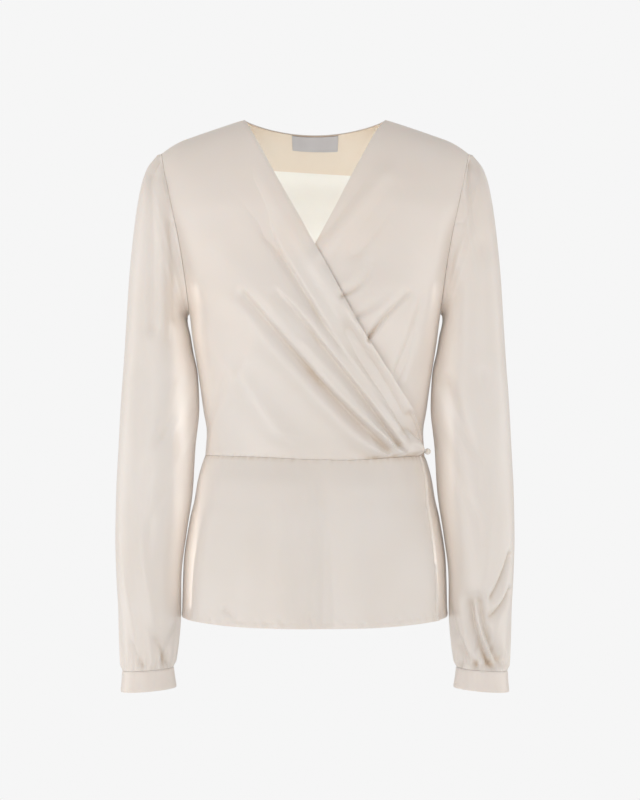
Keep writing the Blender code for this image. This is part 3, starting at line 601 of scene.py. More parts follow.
def edge_from(table, steps):
    """A front edge, from its end at the waist up to the neck point."""
    def curve(t):
        height = table[0].height * (1 - t) + HALF_GAP * (1 - t)
        chart = chart_of(read(table, "height", "x", height), height)
        chart[:, 1] = np.maximum(chart[:, 1], SEAM_DOWN)
        return chart
    return spread(curve, steps)


def shoulder_edge(start, end, steps, crowding=1.0):
    def curve(t):
        around = start + t * (end - start)
        return np.stack([around, np.full_like(around, SEAM_DOWN)], -1)
    return spread(curve, steps, crowding)


def patch(bottom, top, left, right):
    """Fills four edges, given as charts, with a grid of rows by columns (a Coons patch)."""
    u = (bottom[:, 0] - bottom[0, 0]) / (bottom[-1, 0] - bottom[0, 0])
    u = u[None, :, None]
    v = np.linspace(0, 1, len(left))[:, None, None]
    across = (1 - u) * left[:, None] + u * right[:, None]
    up = (1 - v) * bottom[None] + v * top[None]
    corners = ((1 - u) * (1 - v) * bottom[0] + u * (1 - v) * bottom[-1]
               + (1 - u) * v * top[0] + u * v * top[-1])
    return across + up - corners


print("wrap edge", len(WRAP_EDGE), "rows; armhole of", ARMHOLE_STEPS, "steps a side")

# %% [markdown]
# ## Folds
# A fold is a soft ridge or trough along a bowed line, given as it is seen from the front: where it
# starts and ends, how wide and how high it is there. `lean` makes one flank steeper than the other,
# as a fold that hangs over has, and `crisp` sharpens the crest of a pressed crease. Adding up a few
# dozen of them is simpler than simulating the cloth, and puts each fold where the wrap pulls it: from
# the bust and the side seam down to the button.

# %% The fold function
Fold = namedtuple("Fold", "x0 z0 x1 z1 bow width0 width1 rise0 rise1 lean crisp", defaults=(0, 0))


def fold_rise(folds, x, height):
    total = np.zeros(np.broadcast(x, height).shape)
    for fold in folds:
        length = math.hypot(fold.x1 - fold.x0, fold.z1 - fold.z0)
        along_x, along_z = (fold.x1 - fold.x0) / length, (fold.z1 - fold.z0) / length
        run = ((x - fold.x0) * along_x + (height - fold.z0) * along_z) / length
        share = np.clip(run, 0, 1)
        off = (height - fold.z0) * along_x - (x - fold.x0) * along_z
        off = off - fold.bow * 4 * share * (1 - share)
        width = fold.width0 + share * (fold.width1 - fold.width0)
        flank = width * (1 + fold.lean * np.tanh(off / width))
        rise = fold.rise0 + share * (fold.rise1 - fold.rise0)
        past = np.maximum(np.maximum(-run, run - 1) * length, 0)
        shape = np.abs(off / flank) ** (2 - fold.crisp) + (past / (1.5 * width)) ** 2
        total += rise * np.exp(-shape)
    return total


def seam_fade(height, around, reach):
    """Folds die out where the waist seam holds the cloth."""
    return smooth_step(np.abs(height - waist_height(around)) / reach)


def edge_distance(chart, end):
    """How far each point lies from an end column of its row."""
    spot = torso(chart[..., 0], chart[..., 1])
    return np.linalg.norm(spot - spot[:, [end]], axis=-1)


def edge_fade(chart, *ends):
    """Folds come back to the figure at a side or armhole edge, an end column of the chart."""
    return smooth_step(np.min([edge_distance(chart, end) for end in ends], axis=0) / EDGE_FADE)


def puckers(along, pitch):
    """An uneven ripple along a seam, between -1 and 1."""
    turn = along * 2 * math.pi / pitch
    return 0.5 * np.sin(turn) + 0.3 * np.sin(turn * 0.613 + 1.7) + 0.2 * np.sin(turn * 1.71 + 0.6)


print("a fold has the columns", ", ".join(Fold._fields))

# %% [markdown]
# ### Folds of the two fronts
# The outer front is drawn across the body and gathered into the end of the waist seam. Its first row
# lifts the whole draped band, and the others cut troughs and raise ridges in it. All of them close up
# towards the button, where the cloth is tucked tight. The under front only shows above the wrap edge,
# where short folds run out from under it.

# %% Fold tables of the fronts
RIGHT_FRONT_FOLDS = (
    Fold(-46, -210, 94, -392, 0, 46, 34, 8.0, 14.5),
    Fold(-89, -224, 84, -410, -3, 13, 13, 3.0, 8.0),
    Fold(-79, -214, 90, -400, -4, 5.5, 7.2, -5.0, -15.0, -0.5),
    Fold(-66, -208, 98, -400, -3, 6, 5, 0.4, 4.0),
    Fold(-12, -268, 70, -368, 4, 4, 4, 1.4, 2.4),
    Fold(-42, -213, 92, -386, 5, 4.5, 5.6, -2.0, -11.5, -0.45),
    Fold(-34, -212, 112, -388, 8, 5.5, 4.6, 0.4, 5.0),
    Fold(-83, -74, -54, -141, 1, 15, 8, -1.6, -2.6),
    Fold(-54, -141, 102, -366, -7, 4.5, 4, -4.5, -3.5, -0.3, 0.1),
    Fold(-46, -135, 40, -268, -4, 8, 7, 0.8, 1.2),
    Fold(42, -258, 107, -368, -1, 11, 10, -8.0, -13.0, -0.5),
    Fold(40, -282, 92, -362, 0, 6, 5, 1.5, 3.5),
    Fold(2, -182, 60, -280, 1, 11, 8, 3.0, 2.0),
    Fold(40, -232, 118, -350, -1, 7, 5.5, 2.4, 4.0),
    Fold(-62, -78, 2, -182, -1, 12, 11, 1.8, 3.0),
    Fold(-84, -311, -22, -394, -2, 13, 15, 3.0, 5.0),
    Fold(-128, -262, -50, -372, 4, 16, 18, 2.4, 1.5),
    Fold(-120, -150, -72, -206, 0, 18, 16, 2.4, 1.6),
    Fold(95, -357, 104, -380, 0, 3.4, 3, -3.0, -4.0, 0, 0.2),
    Fold(101, -355, 110, -380, 0, 3, 3, 1.6, 2.6, 0, 0.2),
    Fold(107, -356, 121, -388, 0, 12, 10, 4.5, 5.0),
    Fold(109, -354, 120, -388, 1, 4.8, 4.2, -11.0, -16.0, 0, 0.1),
    Fold(113.5, -350, 124, -384, 1, 2.8, 2.4, 3.0, 5.5),
    Fold(119, -386, 124, -400, 0, 3, 2.6, -3.0, -7.0, 0, 0.3),
    Fold(100, -376, 117, -400, 0, 3.4, 3, 2.0, 4.0, 0, 0.2),
    Fold(78, -374, 97, -403, -1, 4.6, 4.6, 2.0, 7.0, 0, 0.1),
    Fold(94, -391, 105, -402, 0, 4.0, 3.4, -1.6, -5.0, 0, 0.2),
    Fold(60, -372, 74, -400, 0, 4, 3.4, 0.8, 2.4, 0, 0.3),
)
LEFT_FRONT_FOLDS = (
    Fold(48, -242, 122, -162, 0, 42, 48, 9.0, 5.0),
    Fold(33, -214, 64, -178, -6, 3.2, 6.0, -4.4, -0.9, 0.4, 0.3),
    Fold(36, -200, 54, -172, -3, 8, 9, 1.8, 1.0),
    Fold(50, -236, 80, -212, -2, 4.5, 7, -4.0, -1.0, 0.3, 0.2),
    Fold(62, -262, 103, -212, 1.5, 3.0, 4.4, -6.6, -2.4, 0.5, 0.3),
    Fold(74, -272, 118, -220, 0, 9, 9, 1.6, 0.8),
    Fold(86, -298, 112, -226, -3, 9, 10, 2.4, 1.6),
    Fold(96, -303, 121, -218, -3, 4, 6, -4.6, -2.0, 0.2, 0.2),
    Fold(104, -312, 130, -232, -3, 6, 9, 2.0, 1.2),
    Fold(9, -164, 79, -73, 0, 9, 10, 5.0, 3.0),
    Fold(11, -135, 50, -82, 0, 7, 8, -3.0, -1.4),
    Fold(49, -159, 91, -99, 0, 8, 10, -4.0, -2.0),
)
print(len(RIGHT_FRONT_FOLDS), "folds outside,", len(LEFT_FRONT_FOLDS), "on the under front")

# %% [markdown]
# ### Where the two fronts lie
# The outer front stands off the figure wherever the under front lies below it. Both edges are turned
# under and pressed, so each curls back towards the body over its last few millimetres. The waist seam
# pulls a narrow, puckered valley into the cloth on either side.

# %% Heights of the fronts and the back
EDGE_CURL, CURL_REACH = 0.8, 3.0
SEAM_VALLEY, VALLEY_REACH, VALLEY_RIPPLE, VALLEY_PITCH = 0.85, 2.8, 0.8, 9
WAIST_RADIUS, HEM_RADIUS = 120, 125
BODICE_HOLD, TUCKED_HOLD, PEPLUM_HOLD, BACK_HOLD = 34, 6, 36, 14
TUCKS_FROM, TUCKS_TO = 35, 85

BACK_FOLDS = (
    Fold(-62, -398, -84, -258, 4, 14, 24, 5.5, 0.8),
    Fold(-20, -398, -26, -300, -3, 11, 18, 4.6, 0.8),
    Fold(34, -398, 40, -286, 3, 12, 20, 5.2, 0.8),
    Fold(78, -398, 96, -250, -4, 14, 24, 5.0, 0.8),
    Fold(-118, -352, -30, -376, 5, 9, 12, 4.0, 1.4),
    Fold(114, -346, 36, -372, -5, 9, 12, 4.2, 1.4),
    Fold(-134, -196, -48, -128, 6, 14, 20, 3.8, 1.2),
    Fold(136, -204, 52, -134, -6, 14, 20, 3.6, 1.2),
    Fold(-44, -394, -52, -312, 2, 5, 8, -2.6, -0.6, 0, 0.3),
    Fold(8, -394, 6, -318, -2, 5, 9, -2.4, -0.6, 0, 0.3),
    Fold(58, -394, 64, -306, 2, 5, 8, -2.8, -0.6, 0, 0.3),
    Fold(-104, -338, -44, -352, 4, 5, 8, -2.0, -0.6, 0, 0.3),
    Fold(102, -330, 48, -348, -4, 5, 8, -2.0, -0.6, 0, 0.3),
)


def hidden_edge(height):
    """The angle of the under layer's hidden edge, at the wearer's right."""
    bodice = chart_of(read(UNDER_EDGE, "height", "x", height), height)[..., 0]
    peplum = -np.radians(read(PEPLUM_EDGE, "height", "degrees", height))
    return np.where(height > WAIST, bodice, peplum)


def overlap_lift(around, height):
    return LAYER_LIFT * smooth_step((around - hidden_edge(height)) / LIFT_REACH + 1)


def seam_valley(chart, height):
    away = np.abs(height - waist_height(chart[..., 0]))
    ripple = 1 + VALLEY_RIPPLE * puckers(chart[..., 0] * WAIST_RADIUS, VALLEY_PITCH)
    return -SEAM_VALLEY * ripple * np.exp(-(away / VALLEY_REACH) ** 2)


def edge_curl(chart, end):
    return -EDGE_CURL * np.exp(-(edge_distance(chart, end) / CURL_REACH) ** 2)


def front_hold(x):
    """The waist seam holds the cloth smooth, but the tucks at the button run right into it."""
    tucked = smooth_step((x - TUCKS_FROM) / (TUCKS_TO - TUCKS_FROM))
    return BODICE_HOLD + (TUCKED_HOLD - BODICE_HOLD) * tucked


def panel_folds(chart, folds, hold=None):
    spot = torso(chart[..., 0], chart[..., 1])
    hold = front_hold(spot[..., 0]) if hold is None else hold
    return fold_rise(folds, spot[..., 0], spot[..., 2]) * seam_fade(spot[..., 2], chart[..., 0], hold)


def height_of(chart):
    return torso(chart[..., 0], chart[..., 1])[..., 2]


def under_folds(chart):
    """The folds of the left front, which reach a little under the right front."""
    height = height_of(chart)
    wrap = chart_of(read(WRAP_EDGE, "height", "x", height), height)[..., 0]
    bare = smooth_step((chart[..., 0] - wrap) / UNDER_FADE + 1)
    return np.maximum(panel_folds(chart, LEFT_FRONT_FOLDS) * bare, 0)


def left_front_out(chart):
    return (under_folds(chart) * edge_fade(chart, -1) + edge_curl(chart, 0)
            + seam_valley(chart, height_of(chart)))


def right_front_out(chart):
    height = height_of(chart)
    folds = np.maximum(panel_folds(chart, RIGHT_FRONT_FOLDS), 0)
    lift = overlap_lift(chart[..., 0], height) + under_folds(chart)
    return (lift + folds * edge_fade(chart, 0) + edge_curl(chart, -1)
            + seam_valley(chart, height))


def back_out(chart):
    folds = np.maximum(panel_folds(chart, BACK_FOLDS, BACK_HOLD), 0) * edge_fade(chart, 0, -1)
    return folds + seam_valley(chart, height_of(chart))


print("the outer front stands", LAYER_LIFT, "mm off the figure over the under front")

# %% [markdown]
# ## From numbers to cloth
# One helper makes every piece of cloth. It takes a plain grid, moves each of its points to a place on
# the outer face, and extrudes the whole sheet to the inner face, so bmesh closes the rim by itself. The
# UV map is the length along the cloth in metres, both ways, which keeps the weave at one size. A tube
# is the same sheet with its first and last columns merged. How deep a point lies in a crease is found
# by smoothing the grid a few times and measuring how far the point falls below the result.

# %% The cloth builder
CREASE_PASSES, CREASE_DEPTH = 12, 4.2
SAME_PLACE, SHARP_EDGE = 0.001 * MM, math.radians(50)
triangle_counts = []


def cloth_lengths(points, tube):
    """Distances along the rows and up the columns, in metres."""
    if tube:
        points = np.concatenate([points, points[:, :1]], axis=1)
    across = np.linalg.norm(np.diff(points, axis=1), axis=-1)
    up = np.linalg.norm(np.diff(points, axis=0), axis=-1)
    across = np.cumsum(np.pad(across, [(0, 0), (1, 0)]), axis=1)
    up = np.cumsum(np.pad(up, [(1, 0), (0, 0)]), axis=0)
    return across * MM, up * MM


def grid_places(mesh):
    """The row and the column of each vertex in the grid that it came from."""
    places = np.zeros((2, len(mesh.vertices)), np.int32)
    for word, values in zip(("row", "column"), places):
        mesh.attributes[word].data.foreach_get("value", values)
    return places


def add_cloth_map(mesh, across, up, columns):
    rows_of, columns_of = grid_places(mesh)
    corners = np.zeros(len(mesh.loops), np.int32)
    mesh.loops.foreach_get("vertex_index", corners)
    row, place = rows_of[corners], columns_of[corners]
    sizes = np.zeros(len(mesh.polygons), np.int32)
    mesh.polygons.foreach_get("loop_total", sizes)
    face = np.repeat(np.arange(len(sizes)), sizes)
    highest = np.zeros(len(sizes), np.int32)
    np.maximum.at(highest, face, place)
    wraps = (highest[face] == columns - 1) & (place == 0) & (across.shape[1] > columns)
    place = np.where(wraps, columns, place)
    layer = mesh.uv_layers.new(name="cloth")
    pairs = np.stack([across[row, place], up[row, place]], -1)
    layer.data.foreach_set("uv", pairs.astype(np.float32).ravel())


# stores how deep each point lies in a crease, which sets the painted crease shade in the satin
def add_crease_shade_mask(mesh, depth):
    layer = mesh.attributes.new("crease", "FLOAT", "POINT")
    layer.data.foreach_set("value", depth[tuple(grid_places(mesh))].astype(np.float32))


def smoothed(grid, passes, tube):
    for _ in range(passes):
        padded = np.pad(grid, [(1, 1), (0, 0), (0, 0)], mode="edge")
        grid = (padded[:-2] + 2 * padded[1:-1] + padded[2:]) / 4
        padded = np.pad(grid, [(0, 0), (1, 1), (0, 0)], mode="wrap" if tube else "edge")
        grid = (padded[:, :-2] + 2 * padded[:, 1:-1] + padded[:, 2:]) / 4
    return grid


def crease_depth(outer, inner, tube):
    """How far each point of a grid lies below the cloth around it, from 0 to 1."""
    below = ((smoothed(outer, CREASE_PASSES, tube) - outer) * unit(outer - inner)).sum(-1)
    return smooth_step(below / CREASE_DEPTH)


def placed_grid(points, tube):
    """A bmesh sheet with its vertices on a grid of points, closed round if it is a tube."""
    rows, columns = points.shape[0] - 1, points.shape[1] - (0 if tube else 1)
    bm = bmesh.new()
    row_of, column_of = (bm.verts.layers.int.new(word) for word in ("row", "column"))
    bmesh.ops.create_grid(bm, x_segments=columns, y_segments=rows, size=0.5)
    for vert in bm.verts:
        vert[row_of] = round((vert.co.y + 0.5) * rows)
        vert[column_of] = round((vert.co.x + 0.5) * columns) % points.shape[1]
        vert.co = points[vert[row_of], vert[column_of]] * MM
    if tube:
        bmesh.ops.remove_doubles(bm, verts=bm.verts[:], dist=SAME_PLACE)
    return bm, row_of, column_of


def finish_piece(bm, name, finish):
    """Turns the faces outwards and makes a smooth object of them."""
    bmesh.ops.recalc_face_normals(bm, faces=bm.faces[:])
    mesh = bpy.data.meshes.new(name)
    bm.to_mesh(mesh)
    bm.free()
    mesh.shade_smooth()
    mesh.set_sharp_from_angle(angle=SHARP_EDGE)
    mesh.materials.append(finish)
    item = bpy.data.objects.new(name, mesh)
    bpy.context.scene.collection.objects.link(item)
    return item


def cloth(name, outer, inner, finish, tube=False):
    """A closed wall between two grids of points; a tube's columns meet round the back."""
    bm, row_of, column_of = placed_grid(outer, tube)
    sheet = bm.faces[:] + bm.edges[:] + bm.verts[:]
    made = bmesh.ops.extrude_face_region(bm, geom=sheet, use_keep_orig=True)["geom"]
    for vert in (item for item in made if isinstance(item, bmesh.types.BMVert)):
        vert.co = inner[vert[row_of], vert[column_of]] * MM
    item = finish_piece(bm, name, finish)
    mesh = item.data
    add_cloth_map(mesh, *cloth_lengths(outer, tube), outer.shape[1])
    add_crease_shade_mask(mesh, crease_depth(outer, inner, tube))
    mesh.calc_loop_triangles()
    triangle_counts.append(len(mesh.loop_triangles))
    area = sum(face.area for face in mesh.polygons) / 2
    print(name, triangle_counts[-1], "triangles,", round(area, 4), "square metres")
    return item


def panel(name, chart, out, finish):
    return cloth(name, on_torso(chart, out + WALL), on_torso(chart, out), finish)


def stand_for(item, node):
    """Hangs an object on the root body and hides the CAD piece that it stands for."""
    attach(item, "root")
    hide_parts(node)


def dress(item, node):
    """The same as stand_for, for a piece of cloth."""
    stand_for(item, node)


# a crease this deep takes the full painted shade
print("a crease", CREASE_DEPTH, "mm deep takes the full tint")

# %% [markdown]
# ### The fronts
# Both fronts run from the side seam to their wrap edge, the right one over the left one. The grid of
# each is stretched between its four edges, so its rows meet the seams cleanly.

# %% Right and left front


def right_front_chart():
    wrap = edge_from(WRAP_EDGE, SIDE_STEPS + ARMHOLE_STEPS)
    side = side_edge(RIGHT, True)
    bottom = waist_edge(side[0, 0], wrap[0, 0], RIGHT_FRONT_STEPS, HALF_GAP, CROWDING)
    top = shoulder_edge(side[-1, 0], wrap[-1, 0], RIGHT_FRONT_STEPS, CROWDING)
    side[0], wrap[0] = bottom[0], bottom[-1]
    return patch(bottom, top, side, wrap)


def left_front_chart():
    wrap = edge_from(UNDER_EDGE, SIDE_STEPS + ARMHOLE_STEPS)
    side = side_edge(LEFT, True)
    bottom = waist_edge(wrap[0, 0], side[0, 0], LEFT_FRONT_STEPS, HALF_GAP, CROWDING)
    top = shoulder_edge(wrap[-1, 0], side[-1, 0], LEFT_FRONT_STEPS, CROWDING)
    side[0], wrap[0] = bottom[-1], bottom[0]
    return patch(bottom, top, wrap, side)


chart = right_front_chart()
dress(panel("right_front_satin", chart, right_front_out(chart), satin),
      "right_front")
chart = left_front_chart()
dress(panel("left_front_satin", chart, left_front_out(chart), satin),
      "left_front")

# %% [markdown]
# ### The back, its facing and the label
# Looking down into the neck, the inside of the back shows, with a facing along the neckline and a small
# woven label on it. The facing is read off the back's own points and moved inwards, and the label off
# the facing's points, so that each lies on what holds it. The facing hangs free along its low edge.

# %% Back, facing and label
FACING_FIRST, FACING_ROWS = 18, 30
FACING_LOW, FACING_TILT, FACING_FREE = -56, -0.06, 1.6
TRIM_GAP, FACING_GAP = 0.4, 1.1
LABEL_HALF_WIDTH, LABEL_TOP, LABEL_BOTTOM = 28.5, 0.6, 21.4
LABEL_COLUMNS, LABEL_ROWS = 41, 17


def back_neck_edge(steps):
    """The back neckline, from the wearer's left to the right."""
    def curve(t):
        x = NECK_HALF * np.cos(math.pi * t)
        height = -BACK_NECK_DEPTH * (1 - (np.abs(x) / NECK_HALF) ** 2)
        chart = chart_of(x, height, front=False)
        chart[:, 1] = np.maximum(chart[:, 1], SEAM_DOWN)
        return chart
    return spread(curve, steps)


def back_chart():
    left, right = side_edge(LEFT, False), side_edge(RIGHT, False)
    neck = back_neck_edge(BACK_NECK_STEPS)
    top = np.concatenate([
        shoulder_edge(left[-1, 0], neck[0, 0], SHOULDER_STEPS)[:-1],
        neck[:-1],
        shoulder_edge(neck[-1, 0], right[-1, 0], SHOULDER_STEPS),
    ])
    bottom = waist_edge(left[0, 0], right[0, 0], len(top) - 1, HALF_GAP)
    left[0], right[0] = bottom[0], bottom[-1]
    return patch(bottom, top, left, right)


def between(grid, row, column):
    """Reads a grid between its points, so that what lies on a panel follows its facets."""
    low = min(int(row), grid.shape[0] - 2)
    left = min(int(column), grid.shape[1] - 2)
    up, across = row - low, column - left
    ends = [grid[low + step, left] * (1 - across) + grid[low + step, left + 1] * across
            for step in (0, 1)]
    return ends[0] * (1 - up) + ends[1] * up


def facing_walls(chart):
    ground, normal = on_torso(chart, back_out(chart)), torso_normal(chart[..., 0], chart[..., 1])
    top = len(ground) - 1
    outer, inner = [], []
    for number in range(FACING_FIRST, ground.shape[1] - FACING_FIRST):
        line = ground[:, number]
        low = FACING_LOW + FACING_TILT * np.interp(FACING_LOW, line[:, 2], line[:, 0])
        lowest = np.interp(low, line[:, 2], np.arange(len(line)))
        rows = np.linspace(lowest, top, FACING_ROWS)
        share = smooth_step(np.linspace(FACING_FREE, 0, FACING_ROWS))[:, None]
        outward = np.array([between(normal, row, number) for row in rows])
        gap = TRIM_GAP + (FACING_GAP - TRIM_GAP) * share
        outer.append([between(ground, row, number) for row in rows] - gap * outward)
        inner.append(outer[-1] - TRIM_WALL * outward)
    return np.array(outer).transpose(1, 0, 2), np.array(inner).transpose(1, 0, 2)


def label_walls(far, ground):
    middle, top = ground.shape[1] // 2, ground.shape[0] - 1
    cell = np.linalg.norm(ground[top, middle] - ground[top, middle + 1])
    step = np.linalg.norm(ground[top, middle] - ground[top - 1, middle])
    reach = LABEL_HALF_WIDTH / cell
    columns = np.linspace(middle - reach, middle + reach, LABEL_COLUMNS)
    rows = np.linspace(top - LABEL_BOTTOM / step, top - LABEL_TOP / step, LABEL_ROWS)
    outer, back = (np.array([[between(grid, row, column) for column in columns] for row in rows])
                   for grid in (ground, far))
    outward = (back - outer) / TRIM_WALL
    return outer - TRIM_GAP * outward, outer - (TRIM_GAP + TRIM_WALL) * outward


chart = back_chart()
dress(panel("back_satin", chart, back_out(chart), satin),
      "back")
facing_far, facing_near = facing_walls(chart)
dress(cloth("facing_cloth", facing_far, facing_near, shaded_wrong_side),
      "back_neck_facing")

# %% [markdown]
# The label is a bare woven tape, stitched down along its two ends. Its weave is much coarser than the
# satin's, so it takes a bump of its own and no gloss.

# %% Label tape
TAPE_PITCH, TAPE_DEPTH = 0.0011, 0.0001


def build_tape():
    made, tree, shader = new_material("label_tape", 0.75)
    colour = cloud(tree, 40.0, 1.0, (0.46, 0.42, 0.42, 1), (0.49, 0.45, 0.45, 1))
    bump = weave(tree, TAPE_PITCH, TAPE_DEPTH, 0.5)
    link(tree, colour, "Color", shader, "Base Color")
    link(tree, bump, "Normal", shader, "Normal")
    fill(shader, {"Sheen Weight": 0.1})
    return made


tape = build_tape()
dress(cloth("label_cloth", *label_walls(facing_far, facing_near), tape),
      "label")

# %% [markdown]
# ## The peplum
# The peplum is cut with a little flare. Its folds are wide and soft, and they open towards the hem,
# which dips a little in front and behind. The hem and the free front edge are turned twice and
# stitched, which makes a narrow, slightly raised band with small puckers along it. A few stitches tack
# it down near the middle of the hem.

# %% Peplum folds and hems
HEM_WIDTH, HEM_RISE, HEM_ROLL, HEM_STEP, STITCH_DIP = 5.5, 0.5, 0.5, 1.2, 0.6
HEM_RIPPLE, HEM_PITCH, RIPPLE_REACH, RIPPLE_SLANT = 0.7, 13, 4.5, 0.35
ROW_CROWDING = 0.85
PEPLUM_FRONT_FOLDS = (
    Fold(-84, -404, -92, -600, 3, 22, 28, 1.0, 4.0),
    Fold(8, -404, 14, -600, 2, 15, 20, -2.4, -5.0, 0.3),
    Fold(-36, -404, -34, -600, -2, 16, 22, 1.0, 2.2),
    Fold(56, -404, 68, -600, -2, 20, 26, 1.0, 3.6),
    Fold(0, -420, 0, -600, 0, 120, 120, 3.0, 4.4),
    Fold(-5, -588, -3, -598, 0, 3, 3, -1.6, -1.6, 0, 0.4),
    Fold(-102, -580, -91, -590, 1, 3, 3, -2.4, -1.0, 0.2, 0.4),
    Fold(84, -404, 92, -446, 1, 5, 8, -1.4, -0.3),
    Fold(70, -404, 74, -440, 1, 5, 8, -1.0, -0.2),
    Fold(104, -404, 112, -440, 1, 4, 7, -1.2, -0.2),
    Fold(-40, -404, -42, -450, 1, 8, 12, -0.7, -0.1),
)
PEPLUM_BACK_FOLDS = (
    Fold(-90, -404, -104, -600, 3, 18, 24, 0.4, 5.0),
    Fold(-28, -404, -34, -600, -2, 18, 24, 0.4, 5.6),
    Fold(34, -404, 38, -600, 2, 18, 24, 0.4, 5.2),
    Fold(92, -404, 108, -600, -3, 18, 24, 0.4, 4.8),
)


def hem_relief(away, along):
    """Thickness of a stitched hem, from the distance to the edge and the place along it."""
    inside = away - HEM_WIDTH
    band = HEM_RISE * smooth_step((HEM_STEP / 2 - inside) / HEM_STEP)
    dip = STITCH_DIP * np.exp(-inside ** 2)
    ripple = HEM_RIPPLE * puckers(along + RIPPLE_SLANT * away, HEM_PITCH)
    roll = HEM_ROLL * np.exp(-(away / HEM_STEP) ** 2)
    return band - dip + ripple * np.exp(-(inside / RIPPLE_REACH) ** 2) - roll


def hem_height(around):
    """The hem dips a little in front and behind, and rises at the side seams."""
    return HEM - HEM_DIP * np.cos(2 * around)


def peplum_chart(start, end, steps, crowding=1.0):
    """Panel from the waist seam to the hem; start and end give the edge angles by height."""
    waist = waist_edge(start(WAIST), end(WAIST), steps, -HALF_GAP, crowding)
    along = (waist[:, 0] - waist[0, 0]) / (waist[-1, 0] - waist[0, 0])
    rows = [waist]
    for share in np.linspace(0, 1, PEPLUM_STEPS + 1)[1:] ** ROW_CROWDING:
        level = WAIST + share * (HEM - WAIST)
        around = start(level) + along * (end(level) - start(level))
        top = waist_height(around) - HALF_GAP
        rows.append(chart_at(around, top + share * (hem_height(around) - top)))
    return np.stack(rows[::-1])


def free_edge(height):
    return math.radians(float(read(PEPLUM_EDGE, "height", "degrees", height)))


def peplum_out(chart, folds, ends, lifted=False, free_end=None):
    around, height = chart[..., 0], height_of(chart)
    rise = np.maximum(panel_folds(chart, folds, PEPLUM_HOLD), 0)
    if ends:
        rise = rise * edge_fade(chart, *ends)
    rise = rise + seam_valley(chart, height)
    rise = rise + hem_relief(height - hem_height(around), around * HEM_RADIUS)
    if lifted:
        rise = rise + overlap_lift(around, height)
    if free_end is not None:
        rise = rise + hem_relief(edge_distance(chart, free_end), height)
    return rise


right_seam, left_seam = side_turn(RIGHT, True), side_turn(LEFT, True)
chart = peplum_chart(lambda level: right_seam, free_edge, RIGHT_FRONT_STEPS, CROWDING)
dress(panel("peplum_front_satin", chart, peplum_out(chart, PEPLUM_FRONT_FOLDS, (0,), True, -1), satin),
      "peplum_front")
chart = peplum_chart(lambda level: -free_edge(level), lambda level: left_seam, LEFT_FRONT_STEPS)
dress(panel("peplum_under_satin", chart, peplum_out(chart, (), (), False, 0) - HEM_RISE, satin),
      "peplum_under")
chart = peplum_chart(lambda level: side_turn(LEFT, False), lambda level: side_turn(RIGHT, False),
                     2 * SHOULDER_STEPS + BACK_NECK_STEPS)
dress(panel("peplum_back_satin", chart, peplum_out(chart, PEPLUM_BACK_FOLDS, (0, -1)), satin),
      "peplum_back")

# %% [markdown]
# ## Sleeves
# A sleeve is a tube of rings. Each row of the table spans one ring from its outer to its inner point,
# as it is seen from the front, and says how deep it is. The tube starts on the armhole's own curve and
# leaves it over the first few rings. Both sleeves share the long folds round the back, while the folds
# in front differ from one arm to the other, so each has a table of its own.

# %% Sleeve tables
SleeveRing = namedtuple("SleeveRing", "outer outer_height inner inner_height half_depth centre")
SLEEVE = (
    SleeveRing(182.0, -34, 150.0, -232, 48, 0),
    SleeveRing(191.5, -45, 152.3, -235, 50, 0),
    SleeveRing(199.5, -56, 152.7, -238, 52, 0),
    SleeveRing(206.2, -72, 152.9, -241, 52, -1),
    SleeveRing(212.5, -100, 152.4, -244, 51, -2),
    SleeveRing(218.0, -142, 151.3, -249, 50, -4),
    SleeveRing(222.5, -190, 149.0, -258, 49, -6),
    SleeveRing(225.5, -240, 145.8, -277, 48, -8),
    SleeveRing(228.5, -290, 140.2, -305, 47, -10),
    SleeveRing(232.0, -340, 138.2, -345, 46, -13),
    SleeveRing(234.5, -392, 142.7, -392, 45, -16),
    SleeveRing(237.0, -445, 145.7, -443, 43, -19),
    SleeveRing(237.8, -497, 153.0, -494, 41, -22),
    SleeveRing(236.3, -545, 158.8, -541, 38, -25),
    SleeveRing(233.0, -588, 160.0, -584, 36, -27),
    SleeveRing(230.7, -625, 163.5, -621, 34, -29),
    SleeveRing(228.5, -656, 168.0, -651.5, 31, -31),
)
ARMHOLE_FADE = 3.0
CUFF = (
    SleeveRing(229.0, -656.4, 167.6, -651.9, 31.6, -31),
    SleeveRing(229.6, -669.0, 166.2, -664.0, 32.6, -31.2),
    SleeveRing(231.0, -681.0, 164.2, -675.6, 34.0, -31.5),
)
CUFF_ROWS, CUFF_SOFTNESS, CUFF_WAVE, CUFF_PINCH, PINCH_REACH = 33, 0.25, 14, 0.55, 0.09
SleeveFold = namedtuple("SleeveFold", "turn0 ring0 turn1 ring1 width0 width1 rise0 rise1")
SLEEVE_FOLDS = (
    SleeveFold(24, 0.2, 30, 3.6, 7, 12, 3.4, 0.8),
    SleeveFold(-22, 0.2, -28, 3.4, 7, 12, 3.0, 0.8),
    SleeveFold(2, 0.3, 3, 2.8, 6, 10, 2.4, 0.6),
    SleeveFold(46, 0.3, 44, 9.0, 10, 15, 2.2, 1.8),
    SleeveFold(-50, 0.3, -46, 8.5, 10, 15, 2.0, 1.8),
    SleeveFold(108, 2.0, 96, 8.0, 10, 14, 2.6, 1.4),
    SleeveFold(-112, 2.0, -98, 8.0, 10, 14, 2.4, 1.4),
    SleeveFold(150, 8.2, 78, 10.4, 9, 8, -1.4, -3.4),
    SleeveFold(150, 9.4, 92, 11.6, 9, 8, -1.2, -3.0),
    SleeveFold(-60, 9.0, -120, 11.0, 10, 10, -2.2, -1.4),
    SleeveFold(60, 10.5, 112, 15.2, 9, 7, 1.2, 3.6),
    SleeveFold(34, 12.2, 70, 15.2, 8, 6, 1.0, 3.4),
    SleeveFold(-58, 10.8, -96, 15.2, 9, 7, 1.2, 3.2),
    SleeveFold(-20, 13.0, -14, 15.4, 8, 6, 1.0, 2.6),
    SleeveFold(-140, 12.5, -150, 15.4, 8, 6, 1.0, 2.6),
)
